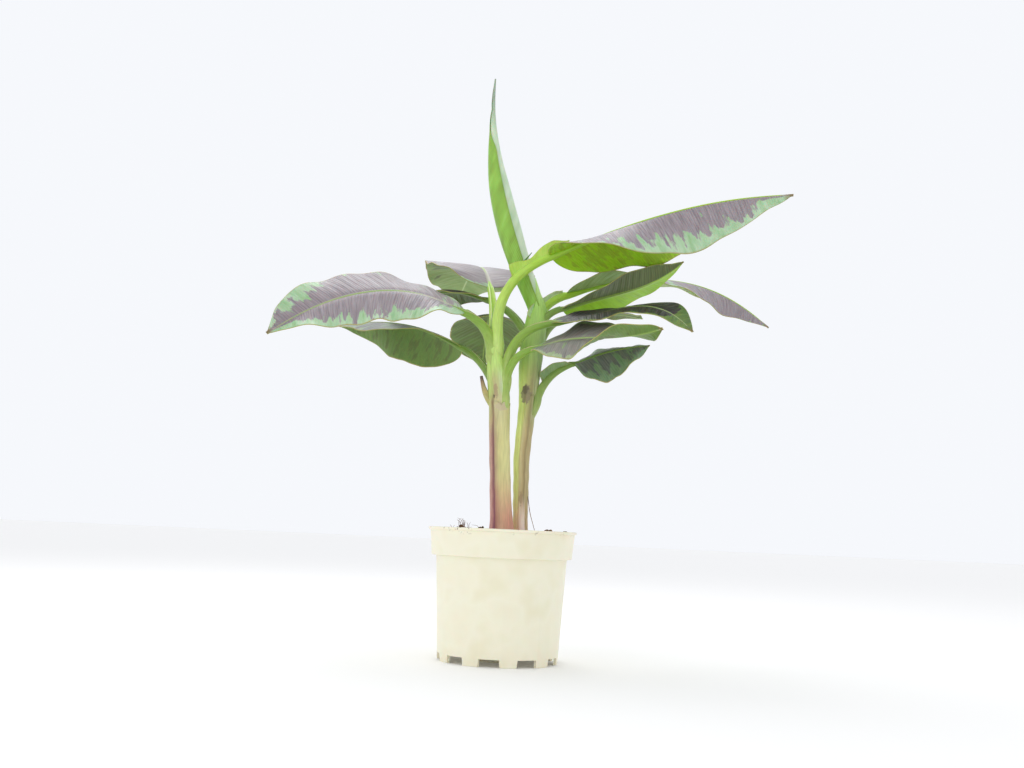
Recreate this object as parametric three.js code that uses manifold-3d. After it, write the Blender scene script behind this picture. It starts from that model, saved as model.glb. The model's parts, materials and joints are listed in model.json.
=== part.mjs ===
// A young banana plant of two stems in a cream nursery pot.
// Millimetres, +Z up. The origin is under the middle of the pot, on the surface that it stands on.
import * as THREE from 'three';
import { mergeVertices } from 'three/addons/utils/BufferGeometryUtils.js';
import Module from 'manifold-3d';

const wasm = await Module();
wasm.setup();

// ---------------------------------------------------------------- driving dimensions

const gap = 0.3; // air left between two pieces that touch

const pot = {
  height: 165, rimRadius: 95, lipHeight: 3.5, lipOverhang: 2.5,
  bandDepth: 35, bandFootRadius: 89.5, shoulderRadius: 83.5, footRadius: 76,
  wall: 2.5, floorHeight: 11, bossRadius: 25, skirtThickness: 3,
  feet: 10, firstFoot: -79.4, notchWidth: 27, notchHeight: 9.5, facets: 40,
};
const soilTop = 155; // 10 mm of headspace under the rim

// Each stem is a bundle of leaf bases: rings of [height, x, y, radius] from the soil to its fork.
const stems = {
  tall: [[soilTop, -1, -8, 18], [170, -2, -8, 15], [205, -5, -8, 13.5], [285, -10, -8, 13],
    [330, -12, -8, 14], [375, -18, -9, 13], [405, -23, -10, 9]],
  slim: [[soilTop, 23, 12, 11.5], [170, 22, 12, 9.5], [260, 20, 12, 10.5], [330, 25, 12, 11.5],
    [375, 26, 12, 15], [410, 28, 12, 16], [440, 32, 12, 14.5], [462, 34, 13, 12]],
};
const stemFacets = 16;

// How each leaf grows. Lengths are in millimetres, angles in degrees.
// height, out: where the leaf leaves its stem, and how far from the stem's axis.
// heading, turn: compass direction, 0 along +X and 90 along +Y, and how much it swings to the tip.
// rise, neck, mid, tip: slope of the leaf stalk at its root and neck, then of the rib.
// roll, fold: at the base, middle and tip of the blade, its tilt about the rib, and how far each
// half stands up (or hangs, when negative). curl bends each half between rib and margin.
const leaves = [
  { name: 'high_right', stem: 'tall', height: 405, out: 5, heading: -22, turn: 0,
    petiole: 145, blade: 315, width: 130, rise: 95, neck: 22, mid: 12, tip: -2,
    roll: [-20, 15, 50], fold: [-10, -50, -45], curl: -10, radii: [9, 5] },
  { name: 'broad_left', stem: 'tall', height: 390, out: 3, heading: 197, turn: 0,
    petiole: 70, blade: 270, width: 115, rise: 80, neck: 24, mid: -15, tip: -40,
    roll: [-30, -45, -60], fold: [5, -5, 25], curl: -10, radii: [10, 5.5] },
  { name: 'low_left', stem: 'tall', height: 350, out: 6, heading: 150, turn: 0,
    petiole: 75, blade: 225, width: 105, rise: 60, neck: 30, mid: 10, tip: -5,
    roll: [30, 30, 0], fold: [-15, -50, -15], curl: -5, radii: [6.5, 4.5] },
  { name: 'behind', stem: 'tall', height: 405, out: 5, heading: 102, turn: 5,
    petiole: 95, blade: 240, width: 155, rise: 85, neck: 45, mid: 5, tip: -30,
    roll: [2, 2, 0], fold: [10, 0, -10], curl: -10, radii: [8, 4.5] },
  { name: 'low_behind', stem: 'tall', height: 385, out: 8, heading: 96, turn: 0,
    petiole: 100, blade: 175, width: 120, rise: 80, neck: 20, mid: -20, tip: -40,
    roll: [0, 0, 0], fold: [-10, -20, -20], curl: -10, radii: [6, 4] },
  { name: 'dark_right', stem: 'tall', height: 362, out: 12, heading: -26, turn: -5,
    petiole: 104, blade: 200, width: 80, rise: 85, neck: 8, mid: 5, tip: -50,
    roll: [25, 20, 35], fold: [10, -5, 10], curl: -5, radii: [8, 5] },
  { name: 'twisted_right', stem: 'tall', height: 335, out: 10, heading: -44, turn: -5,
    petiole: 88, blade: 205, width: 85, rise: 90, neck: 10, mid: -5, tip: 5,
    roll: [30, 35, -45], fold: [5, 0, 15], curl: -5, radii: [7, 4.5] },
  { name: 'arching_right', stem: 'slim', height: 415, out: 2, heading: 18, turn: 0,
    petiole: 85, blade: 330, width: 95, rise: 90, neck: 25, mid: 0, tip: -35,
    roll: [-10, 15, 45], fold: [20, -10, -45], curl: -10, radii: [10, 5.5] },
  { name: 'lifted_right', stem: 'slim', height: 433, out: 5, heading: -18, turn: 5,
    petiole: 40, blade: 172, width: 75, rise: 60, neck: 17, mid: 14, tip: 40,
    roll: [-15, -15, -25], fold: [-25, 5, 30], curl: -10, radii: [7, 4] },
  { name: 'torn_right', stem: 'slim', height: 340, out: 12, heading: -8, turn: 0,
    petiole: 65, blade: 105, width: 88, rise: 65, neck: 25, mid: 15, tip: 5,
    roll: [35, 40, 30], fold: [-20, -20, -20], curl: -10, radii: [7, 4] },
  { name: 'back_left', stem: 'slim', height: 415, out: 6, heading: 152, turn: 0,
    petiole: 90, blade: 180, width: 85, rise: 60, neck: 25, mid: -5, tip: -20,
    roll: [0, 0, 0], fold: [0, -10, -10], curl: -10, radii: [7, 5] },
  { name: 'back_right', stem: 'slim', height: 405, out: 10, heading: 35, turn: 0,
    petiole: 80, blade: 130, width: 60, rise: 70, neck: 15, mid: 10, tip: -5,
    roll: [0, 0, 0], fold: [0, 0, 0], curl: -10, radii: [7, 5] },
];
const widest = 0.4; // where along its length a blade is broadest
const bladeThickness = 1.2;
const steps = 24; // steps along a leaf's stalk, and along its blade
const bladeCells = { along: 12, across: 6 };
const petioleCells = { sides: 8, along: 8 };

// ---------------------------------------------------------------- growth

const radians = THREE.MathUtils.degToRad;

function direction(heading, slope) {
  const h = radians(heading);
  const s = radians(slope);
  return new THREE.Vector3(Math.cos(h) * Math.cos(s), Math.sin(h) * Math.cos(s), Math.sin(s));
}

// A smooth curve through evenly spaced values, read at t from 0 to 1.
function along(values, t) {
  const last = values.length - 1;
  const x = Math.min(Math.max(t, 0), 1) * last;
  const i = Math.min(Math.floor(x), last - 1);
  const f = x - i;
  const [a, b, c, d] = [i - 1, i, i + 1, i + 2].map((k) => values[Math.min(Math.max(k, 0), last)]);
  return 0.5 * (2 * b + (c - a) * f + (2 * a - 5 * b + 4 * c - d) * f * f
    + (3 * b - a - 3 * c + d) * f * f * f);
}

// The centre and radius of a stem at a height.
function stemAt(rings, height) {
  const top = rings.length - 2;
  let i = 0;
  while (i < top && rings[i + 1][0] < height) i += 1;
  const f = (height - rings[i][0]) / (rings[i + 1][0] - rings[i][0]);
  return rings[i].map((value, k) => THREE.MathUtils.lerp(value, rings[i + 1][k], f));
}

// Follows a leaf from its root: stations along the stalk, then along the rib of the blade.
function grow(leaf) {
  const [, x, y] = stemAt(stems[leaf.stem], leaf.height);
  const out = direction(leaf.heading, 0).multiplyScalar(leaf.out);
  const point = new THREE.Vector3(x, y, leaf.height).add(out);
  const stations = [{ point: point.clone() }];
  for (let k = 0; k < 2 * steps; k += 1) {
    const onBlade = k >= steps;
    const t = ((k % steps) + 0.5) / steps;
    const heading = leaf.heading + (onBlade ? leaf.turn * t : 0);
    const slope = onBlade
      ? along([leaf.neck, leaf.mid, leaf.tip], t)
      : THREE.MathUtils.lerp(leaf.rise, leaf.neck, THREE.MathUtils.smoothstep(t, 0, 1));
    const stride = (onBlade ? leaf.blade : leaf.petiole) / steps;
    const tangent = direction(heading, slope);
    point.addScaledVector(tangent, stride);
    stations.push({ point: point.clone(), tangent, heading });
  }
  stations[0].tangent = stations[1].tangent;
  stations[0].heading = stations[1].heading;
  return stations.map((station, k) => {
    const next = stations[Math.min(k + 1, 2 * steps)];
    const tangent = station.tangent.clone().add(next.tangent).normalize();
    const side = direction(next.heading + 90, 0);
    const normal = tangent.clone().cross(side);
    return { point: station.point, tangent, side, normal };
  });
}

// How broad a blade is at t, as a part of its full width: a round base and a long pointed tip.
function outline(t) {
  if (t < widest) return Math.sqrt(1 - (1 - t / widest) ** 2.4);
  return (1 - ((t - widest) / (1 - widest)) ** 2.1) ** 0.95;
}

// A point of the blade: t runs along it, v across it from the right margin, -1, to the left, 1.
function bladePoint(leaf, stations, t, v) {
  const { point, side, normal } = stations[steps + Math.round(t * steps)];
  const roll = radians(along(leaf.roll, t));
  const fold = radians(along(leaf.fold, t));
  const curl = radians(leaf.curl);
  const half = (leaf.width / 2) * Math.max(outline(t), 0.04);
  const bend = fold + curl * Math.abs(v);
  const reach = (half * (Math.sin(bend) - Math.sin(fold))) / curl;
  const lift = (half * (Math.cos(fold) - Math.cos(bend))) / curl;
  const across = side.clone().multiplyScalar(Math.cos(roll)).addScaledVector(normal, Math.sin(roll));
  const up = normal.clone().multiplyScalar(Math.cos(roll)).addScaledVector(side, -Math.sin(roll));
  return point.clone().addScaledVector(across, Math.sign(v) * reach).addScaledVector(up, lift);
}

// ---------------------------------------------------------------- shaping

// Moves every vertex of a plain closed shape, and joins the vertices that meet.
function shape(geometry, place) {
  geometry.deleteAttribute('normal');
  geometry.deleteAttribute('uv');
  const shaped = mergeVertices(geometry, 0.001);
  const position = shaped.getAttribute('position');
  const vertex = new THREE.Vector3();
  for (let i = 0; i < position.count; i += 1) {
    vertex.fromBufferAttribute(position, i);
    const moved = place(vertex);
    position.setXYZ(i, moved.x, moved.y, moved.z);
  }
  return shaped;
}

// A thin blade: a box whose top and bottom follow the leaf's surface.
function bladeGeometry(leaf, stations) {
  const box = new THREE.BoxGeometry(1, 2, 1, bladeCells.along, bladeCells.across, 1);
  return shape(box, (vertex) => {
    const t = vertex.x + 0.5;
    const v = vertex.y;
    const surface = bladePoint(leaf, stations, t, v);
    // the face's own direction, from two short steps on the surface
    const ahead = 1 / steps;
    const before = bladePoint(leaf, stations, Math.max(t - ahead, 0), v);
    const after = bladePoint(leaf, stations, Math.min(t + ahead, 1), v);
    const nudge = 0.05;
    const right = bladePoint(leaf, stations, t, Math.max(v - nudge, -1));
    const left = bladePoint(leaf, stations, t, Math.min(v + nudge, 1));
    const facing = after.sub(before).cross(left.sub(right)).normalize();
    const startGap = t < 1e-6 ? gap : 0;
    const { tangent } = stations[steps];
    return surface.addScaledVector(facing, Math.sign(vertex.z) * bladeThickness / 2)
      .addScaledVector(tangent, startGap);
  });
}

// A tapering limb through stations: a cylinder whose axis follows them.
// radiusAt gives the radius at t from 0 to 1.
function limbGeometry(stations, radiusAt, cells, grown = 0) {
  const plain = new THREE.CylinderGeometry(1, 1, 1, cells.sides, cells.along);
  const last = stations.length - 1;
  return shape(plain, (vertex) => {
    const t = vertex.y + 0.5;
    const { point, tangent, side, normal } = stations[Math.round(t * last)];
    const radius = radiusAt(t) + grown;
    const end = t < 0.001 ? -grown : (t > 0.999 ? grown : 0);
    return point.clone().addScaledVector(side, vertex.x * radius)
      .addScaledVector(normal, -vertex.z * radius).addScaledVector(tangent, end);
  });
}

// Stations up a stem, one for each of its rings, with level sections.
function stemStations(rings) {
  return rings.map(([z, x, y]) => ({
    point: new THREE.Vector3(x, y, z),
    tangent: new THREE.Vector3(0, 0, 1),
    side: new THREE.Vector3(1, 0, 0),
    normal: new THREE.Vector3(0, 1, 0),
  }));
}

// A closed mesh as a solid that can be cut, and a solid as a geometry again.
function toSolid(geometry) {
  const mesh = new wasm.Mesh({
    numProp: 3,
    vertProperties: new Float32Array(geometry.getAttribute('position').array),
    triVerts: new Uint32Array(geometry.getIndex().array),
  });
  return new wasm.Manifold(mesh);
}

function toGeometry(solid) {
  const mesh = solid.getMesh();
  const geometry = new THREE.BufferGeometry();
  geometry.setAttribute('position', new THREE.BufferAttribute(mesh.vertProperties, 3));
  geometry.setIndex(new THREE.BufferAttribute(mesh.triVerts, 1));
  geometry.computeVertexNormals();
  return geometry;
}

// The biggest of the separate bodies that a cut leaves.
function largest(solid) {
  const bodies = solid.decompose();
  return bodies.reduce((a, b) => (a.volume() > b.volume() ? a : b));
}

// ---------------------------------------------------------------- materials

function material(color, roughness) {
  return new THREE.MeshStandardMaterial({ color, roughness, metalness: 0 });
}
const creamPlastic = material(0xe9e2c8, 0.5);
const compost = material(0x5a4634, 0.95);
const stemSkin = material(0xb9b878, 0.6);
const leafStalk = material(0x9dbb5a, 0.5);
const leafBlade = material(0x5f7a4a, 0.5);
const newLeaf = material(0x79b52e, 0.45);
const driedLeaf = material(0x8a7048, 0.85);

// ---------------------------------------------------------------- the plant

const plant = new THREE.Group();

function add(name, geometry, look) {
  const mesh = new THREE.Mesh(geometry, look);
  mesh.name = name;
  plant.add(mesh);
}

// The pot: a turned wall with a band and a lip, standing on feet around a raised floor.
// A round boss under the floor reaches the same level as the feet.
function potGeometry() {
  const bandFoot = pot.height - pot.bandDepth;
  const bandTopRadius = pot.rimRadius - pot.lipOverhang;
  const innerFoot = pot.footRadius - pot.wall;
  const innerShoulder = pot.shoulderRadius - pot.wall;
  const profile = [
    [0, 0], [pot.bossRadius, 0], [pot.bossRadius, pot.floorHeight],
    [pot.footRadius - pot.skirtThickness, pot.floorHeight], [pot.footRadius - pot.skirtThickness, 0],
    [pot.footRadius, 0], [pot.shoulderRadius, bandFoot],
    [pot.bandFootRadius, bandFoot], [bandTopRadius, pot.height - pot.lipHeight],
    [pot.rimRadius, pot.height - pot.lipHeight], [pot.rimRadius, pot.height],
    [bandTopRadius - pot.wall, pot.height], [pot.bandFootRadius - pot.wall, bandFoot + pot.wall],
    [innerShoulder, bandFoot], [innerFoot, pot.floorHeight + pot.wall], [0, pot.floorHeight + pot.wall],
  ].map(([r, z]) => new THREE.Vector2(r, z));
  const turned = new THREE.LatheGeometry(profile, pot.facets).rotateX(Math.PI / 2);
  let solid = toSolid(shape(turned, (vertex) => vertex));
  for (let k = 0; k < pot.feet; k += 1) {
    const between = radians(pot.firstFoot + (k + 0.5) * (360 / pot.feet));
    const notch = new THREE.BoxGeometry(3 * pot.bossRadius, pot.notchWidth, 2 * pot.notchHeight);
    const reach = pot.footRadius - pot.skirtThickness / 2 + pot.bossRadius;
    notch.translate(reach, 0, 0).rotateZ(between);
    solid = solid.subtract(toSolid(shape(notch, (vertex) => vertex)));
  }
  return toGeometry(solid);
}

// The compost fills the pot to its headspace.
function soilGeometry() {
  const bandFoot = pot.height - pot.bandDepth;
  const bottom = pot.floorHeight + pot.wall + gap;
  const profile = [
    [0, bottom], [pot.footRadius - pot.wall - gap, bottom],
    [pot.shoulderRadius - pot.wall - gap, bandFoot + gap],
    [pot.bandFootRadius - pot.wall - gap, bandFoot + pot.wall + gap],
    [pot.bandFootRadius - pot.wall + gap, soilTop - gap], [0, soilTop - gap],
  ].map(([r, z]) => new THREE.Vector2(r, z));
  const turned = new THREE.LatheGeometry(profile, pot.facets).rotateX(Math.PI / 2);
  return shape(turned, (vertex) => vertex);
}

add('pot', potGeometry(), creamPlastic);
add('soil', soilGeometry(), compost);

// The stems, and copies of them a little larger to cut the leaf stalks with.
const cutters = [];
for (const [name, rings] of Object.entries(stems)) {
  const stations = stemStations(rings);
  const cells = { sides: stemFacets, along: rings.length - 1 };
  const radiusAt = (t) => rings[Math.round(t * (rings.length - 1))][3];
  add(`stem_${name}`, limbGeometry(stations, radiusAt, cells), stemSkin);
  cutters.push(toSolid(limbGeometry(stations, radiusAt, cells, gap)));
}

// Adds a limb, cut where it would run into a piece that is there already.
function addLimb(name, stations, radiusAt, cells, look) {
  let solid = toSolid(limbGeometry(stations, radiusAt, cells));
  for (const cutter of cutters) solid = solid.subtract(cutter);
  add(name, toGeometry(largest(solid)), look);
  cutters.push(toSolid(limbGeometry(stations, radiusAt, cells, gap)));
}

for (const leaf of leaves) {
  const stations = grow(leaf);
  const [root, neck] = leaf.radii;
  const stalk = stations.slice(0, steps + 1);
  const radiusAt = (t) => THREE.MathUtils.lerp(root, neck, Math.sqrt(t));
  addLimb(`stalk_${leaf.name}`, stalk, radiusAt, petioleCells, leafStalk);
  add(`blade_${leaf.name}`, bladeGeometry(leaf, stations), leafBlade);
}

// The newest leaf of the slim stem stands up, still half rolled.
const rolled = { stem: 'slim', height: 455, out: 0, heading: 0, turn: 0, petiole: 15, blade: 318,
  rise: 108, neck: 114, mid: 103, tip: 88, radii: [12, 15, 17, 15, 9, 3, 0.8] };
addLimb('blade_rolled', grow(rolled).slice(steps), (t) => along(rolled.radii, t),
  { sides: 10, along: 12 }, newLeaf);

// The tall stem's next leaf is a thin spear in the channel of the highest stalk.
const spear = { stem: 'tall', height: 400, out: -3, heading: -10, turn: 0, petiole: 90, blade: 50,
  rise: 95, neck: 60, mid: 55, tip: 50, radii: [2.5, 4, 3.5, 0.6] };
addLimb('blade_spear', grow(spear), (t) => along(spear.radii, t), { sides: 8, along: 12 }, newLeaf);

// A stalk that lost its blade long ago, low on the tall stem.
const stub = { stem: 'tall', height: 325, out: 9, heading: 180, turn: 0, petiole: 40, blade: 6,
  rise: 55, neck: 78, mid: 80, tip: 80, radii: [5, 4, 2] };
addLimb('stalk_dead', grow(stub).slice(0, steps + 1), (t) => along(stub.radii, t),
  petioleCells, driedLeaf);

export default plant;
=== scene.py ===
# %% [markdown]
# # A young banana plant in a nursery pot
#
# Two stems of leaf bases rise from a cream plastic pot. Their leaves are mottled with maroon,
# and the newest one still stands rolled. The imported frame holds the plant's true sizes. This
# lesson dresses it: each thin solid of the frame is replaced by a leaf with rib, veins and waves.

import json
import math

import bpy
import numpy as np
from mathutils import Matrix, Vector

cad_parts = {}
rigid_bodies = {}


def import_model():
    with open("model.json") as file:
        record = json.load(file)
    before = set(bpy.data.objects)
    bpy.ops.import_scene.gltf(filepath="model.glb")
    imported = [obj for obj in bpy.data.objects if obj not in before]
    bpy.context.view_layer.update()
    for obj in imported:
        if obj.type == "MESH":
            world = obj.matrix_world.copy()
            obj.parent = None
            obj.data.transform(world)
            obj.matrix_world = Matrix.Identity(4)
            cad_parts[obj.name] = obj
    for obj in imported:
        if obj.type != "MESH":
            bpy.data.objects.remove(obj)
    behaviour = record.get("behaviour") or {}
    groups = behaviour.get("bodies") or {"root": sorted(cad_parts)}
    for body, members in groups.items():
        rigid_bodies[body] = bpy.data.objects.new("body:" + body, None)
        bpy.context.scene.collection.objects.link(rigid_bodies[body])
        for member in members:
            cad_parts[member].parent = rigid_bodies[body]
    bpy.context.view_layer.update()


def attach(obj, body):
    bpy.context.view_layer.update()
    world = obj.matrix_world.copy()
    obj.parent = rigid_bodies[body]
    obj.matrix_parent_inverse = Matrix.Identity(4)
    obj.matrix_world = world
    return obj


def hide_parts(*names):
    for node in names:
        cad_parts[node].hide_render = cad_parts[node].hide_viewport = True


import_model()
MM = 0.001
FULL_TURN = 2 * math.pi

# %% [markdown]
# ## The camera
#
# It stands 1.4 m in front of the plant, level with the compost, and looks up a little. It is
# rolled by a few degrees, so the plant seems to lean to the right, as if the pot stood on
# uneven ground.

# %% The camera
camera_place = Vector((3.4, -1400, 160)) * MM
camera_pitch = math.radians(7.88)
camera_roll = math.radians(2.55)
lens_mm = 37.98

ahead = Vector((0, math.cos(camera_pitch), math.sin(camera_pitch)))
level = Vector((1, 0, 0))
above = level.cross(ahead)
right = level * math.cos(camera_roll) + above * math.sin(camera_roll)
up = above * math.cos(camera_roll) - level * math.sin(camera_roll)
bpy.ops.object.camera_add(location=camera_place)
camera = bpy.context.object
camera.name = "camera"
camera.rotation_euler = Matrix((right, up, -ahead)).transposed().to_euler()
camera.data.lens = lens_mm
camera.data.clip_start = 0.01
bpy.context.scene.camera = camera
print("camera at", tuple(camera.location))

# %% [markdown]
# ## Light and floor
#
# A bright overcast sky does most of the work, because leaves look best in soft light. A large
# panel above and behind makes the thin blades glow, and one in front keeps the shadows open.

# %% Helpers for colours and nodes
def colour(code):
    """An sRGB hex code as the linear colour that shaders use."""
    channels = [int(code[i:i + 2], 16) / 255 for i in (1, 3, 5)]
    linear = [c / 12.92 if c <= 0.04045 else ((c + 0.055) / 1.055) ** 2.4 for c in channels]
    return (*linear, 1.0)


def add_node(tree, kind, inputs=None, stops=(), out=0, **settings):
    """Adds a node and returns its output out. inputs gives values or sockets to link."""
    node = tree.nodes.new(kind)
    for name, value in settings.items():
        setattr(node, name, value)
    for k, (place, code) in enumerate(stops):
        if k > 1:
            node.color_ramp.elements.new(place)
        node.color_ramp.elements[k].position = place
        node.color_ramp.elements[k].color = colour(code)
    for socket, value in (inputs or {}).items():
        if isinstance(value, bpy.types.NodeSocket):
            tree.links.new(value, node.inputs[socket])
        else:
            node.inputs[socket].default_value = value
    return node.outputs[out]


def new_material(name, roughness, ior, **constants):
    """A material, its tree and its main shader, with values that are even all over."""
    material = bpy.data.materials.new(name)
    material.use_nodes = True
    tree = material.node_tree
    shader = tree.nodes["Principled BSDF"]
    shader.inputs["Roughness"].default_value = roughness
    shader.inputs["IOR"].default_value = ior
    for socket, value in constants.items():
        shader.inputs[socket.replace("_", " ")].default_value = value
    return material, tree, shader


def wire_up(tree, shader, skin, heights, strength, depth, gloss=None):
    """Links a colour, a relief made from heights and, if there is one, a gloss to the shader."""
    tree.links.new(skin, shader.inputs["Base Color"])
    relief = add_node(tree, "ShaderNodeBump", {"Strength": strength, "Distance": depth,
                                               "Height": heights})
    tree.links.new(relief, shader.inputs["Normal"])
    if gloss:
        tree.links.new(gloss, shader.inputs["Roughness"])


# %% Light and floor
world = bpy.data.worlds.new("overcast")
world.use_nodes = True
world.node_tree.nodes["Background"].inputs["Color"].default_value = colour("#f4f6fa")
world.node_tree.nodes["Background"].inputs["Strength"].default_value = 1.02
bpy.context.scene.world = world
bpy.context.scene.view_settings.view_transform = "Standard"


def add_panel(name, place, target, size, watts):
    """A square lamp at place that faces target."""
    bpy.ops.object.light_add(type="AREA", location=place)
    lamp = bpy.context.object
    lamp.name = name
    lamp.data.size = size
    lamp.data.energy = watts
    lamp.rotation_euler = (Vector(target) - Vector(place)).to_track_quat("-Z", "Y").to_euler()


plant_middle = (0, 0, 0.42)
add_panel("sky_panel", (-0.5, 0.9, 2.2), plant_middle, 1.6, 14)
add_panel("front_panel", (-1.4, -1.8, 1.3), plant_middle, 1.4, 4)

floor_paint, floor_tree, floor_shader = new_material("matt_white_floor", 0.8, 1.45)
floor_shader.inputs["Emission Color"].default_value = colour("#ffffff")
floor_shader.inputs["Emission Strength"].default_value = 0.05
floor_grain = add_node(floor_tree, "ShaderNodeTexNoise", {"Scale": 3.0, "Detail": 3.0})
floor_mix = add_node(floor_tree, "ShaderNodeMix", {0: floor_grain, 6: colour("#f3f2f0"),
                                                   7: colour("#f8f7f5")}, data_type="RGBA", out=2)
floor_tree.links.new(floor_mix, floor_shader.inputs["Base Color"])
bpy.ops.mesh.primitive_plane_add(size=40, location=(0, 0, 0))
floor = bpy.context.object
floor.name = "floor"
floor.data.materials.append(floor_paint)
print("light and floor are set")

# %% [markdown]
# ## Tools for soft shapes
#
# Every leaf, stalk and sheath starts as a grid primitive. Its points are moved onto a formula:
# u runs along the piece and v across it, or round it. A tube is a grid whose two long sides
# meet; its doubles are merged, its ends filled and its normals turned outwards.

# %% Grid helpers
def select_only(piece):
    """Operators act on all that is selected, so everything else is deselected first."""
    bpy.ops.object.select_all(action="DESELECT")
    piece.select_set(True)
    bpy.context.view_layer.objects.active = piece


def apply_modifier(piece, kind, **settings):
    """Adds a modifier with its settings and makes its result the piece's own mesh."""
    select_only(piece)
    modifier = piece.modifiers.new(kind.lower(), kind)
    for name, value in settings.items():
        setattr(modifier, name, value)
    bpy.ops.object.modifier_apply(modifier=modifier.name)


def set_attribute(piece, name, values):
    """Stores one number at each point, for a material to read."""
    attribute = piece.data.attributes.new(name, "FLOAT", "POINT")
    attribute.data.foreach_set("value", np.asarray(values, dtype=np.float32))


def attribute_values(piece, name):
    """The numbers that set_attribute stored."""
    values = np.empty(len(piece.data.vertices), dtype=np.float32)
    piece.data.attributes[name].data.foreach_get("value", values)
    return values


def sheet(name, cells, surface, pattern):
    """A grid moved onto surface(u, v). pattern(u, v) gives the UV map, in metres."""
    bpy.ops.object.select_all(action="DESELECT")
    bpy.ops.mesh.primitive_grid_add(x_subdivisions=cells[0], y_subdivisions=cells[1], size=1)
    piece = bpy.context.object
    piece.name = name
    mesh = piece.data
    mesh.name = name
    flat = np.empty(len(mesh.vertices) * 3)
    mesh.vertices.foreach_get("co", flat)
    u, v = flat.reshape(-1, 3)[:, 0] + 0.5, flat.reshape(-1, 3)[:, 1] + 0.5
    mesh.vertices.foreach_set("co", surface(u, v).ravel())
    corners = np.empty(len(mesh.loops), dtype=np.int32)
    mesh.loops.foreach_get("vertex_index", corners)
    places = np.stack(pattern(u, v), axis=1)
    mesh.uv_layers.active.name = "surface"
    mesh.uv_layers.active.data.foreach_set("uv", places[corners].ravel())
    set_attribute(piece, "along", u)
    set_attribute(piece, "across", v)
    mesh.update()
    return piece


def face_outwards(piece, join=False):
    """Turns a piece right side out. join first merges its long sides and fills its ends."""
    select_only(piece)
    bpy.ops.object.mode_set(mode="EDIT")
    bpy.ops.mesh.select_all(action="SELECT")
    if join:
        bpy.ops.mesh.remove_doubles(threshold=1e-6)
        bpy.ops.mesh.fill_holes(sides=0)
    bpy.ops.mesh.normals_make_consistent(inside=False)
    bpy.ops.object.mode_set(mode="OBJECT")


def close_tube(piece):
    """Closes a rolled grid into a smooth tube."""
    face_outwards(piece, join=True)
    bpy.ops.object.shade_smooth()


def finish_piece(piece, materials, replaces=()):
    """Gives a piece its materials, attaches it to the root body, and hides the frame parts it replaces.
    """
    for k, material in enumerate(materials):
        if k < len(piece.data.materials):
            piece.data.materials[k] = material
        else:
            piece.data.materials.append(material)
    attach(piece, "root")
    if replaces:
        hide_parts(*replaces)


print("grid helpers are ready")

# %% [markdown]
# ## The pot
#
# A nursery pot is injection moulded from cream polypropylene: a thin turned wall with a deep
# band round its mouth, a narrow rounded lip, and a skirt cut into ten feet so that water can
# drain. The wall's outline is drawn once, as a ring of points from axis to axis, and spun
# round the pot's axis. Tapered blocks then cut the gaps between the feet.

# %% The outline of the wall
pot_height, rim_radius, lip_height, lip_overhang = 165, 95, 3.5, 2.5
band_foot, band_foot_radius = 130, 89.5
shoulder_radius, foot_radius, wall = 83.5, 76, 2.5
floor_height, boss_radius, skirt = 11, 25, 3


def rounded(corners, steps=4):
    """An outline whose corners, given as r, z and radius, are eased by short curves."""
    outline = []
    for k, (r, z, radius) in enumerate(corners):
        corner = Vector((r, z))
        if radius == 0:
            outline.append(corner)
            continue
        before, after = (Vector(corners[k + step][:2]) - corner for step in (-1, 1))
        start, end = corner + before.normalized() * radius, corner + after.normalized() * radius
        for i in range(steps + 1):
            f = i / steps
            outline.append(start * (1 - f) ** 2 + corner * 2 * f * (1 - f) + end * f ** 2)
    return outline


lip_foot = pot_height - lip_height
band_top_radius = rim_radius - lip_overhang
wall_outline = rounded([
    (0, 0, 0), (boss_radius, 0, 1), (boss_radius, floor_height, 2),
    (foot_radius - skirt, floor_height, 2), (foot_radius - skirt, 0, 0.7), (foot_radius, 0, 0.7),
    (shoulder_radius, band_foot, 0.8), (band_foot_radius, band_foot, 1.2),
    (band_top_radius, lip_foot, 1.0), (rim_radius, lip_foot, 1.4), (rim_radius, pot_height, 1.6),
    (band_top_radius - wall, pot_height, 1.6), (band_foot_radius - wall, band_foot + wall, 3),
    (shoulder_radius - wall, band_foot, 1.5), (foot_radius - wall, floor_height + wall, 2),
    (0, floor_height + wall, 0)])
print("points in the wall's outline:", len(wall_outline))

# %% Spin the wall and cut the feet
bpy.ops.object.select_all(action="DESELECT")
bpy.ops.mesh.primitive_circle_add(vertices=len(wall_outline), radius=0.1)
pot_wall = bpy.context.object
pot_wall.name = "pot_wall"
for vertex, point in zip(pot_wall.data.vertices, wall_outline):
    vertex.co = Vector((point[0], 0, point[1])) * MM
bpy.ops.object.mode_set(mode="EDIT")
bpy.ops.mesh.select_all(action="SELECT")
bpy.ops.mesh.spin(steps=144, angle=FULL_TURN, center=(0, 0, 0), axis=(0, 0, 1))
bpy.ops.mesh.select_all(action="SELECT")
bpy.ops.mesh.remove_doubles(threshold=1e-6)
bpy.ops.mesh.delete_loose()
bpy.ops.mesh.select_all(action="SELECT")
bpy.ops.mesh.normals_make_consistent(inside=False)
bpy.ops.object.mode_set(mode="OBJECT")

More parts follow.
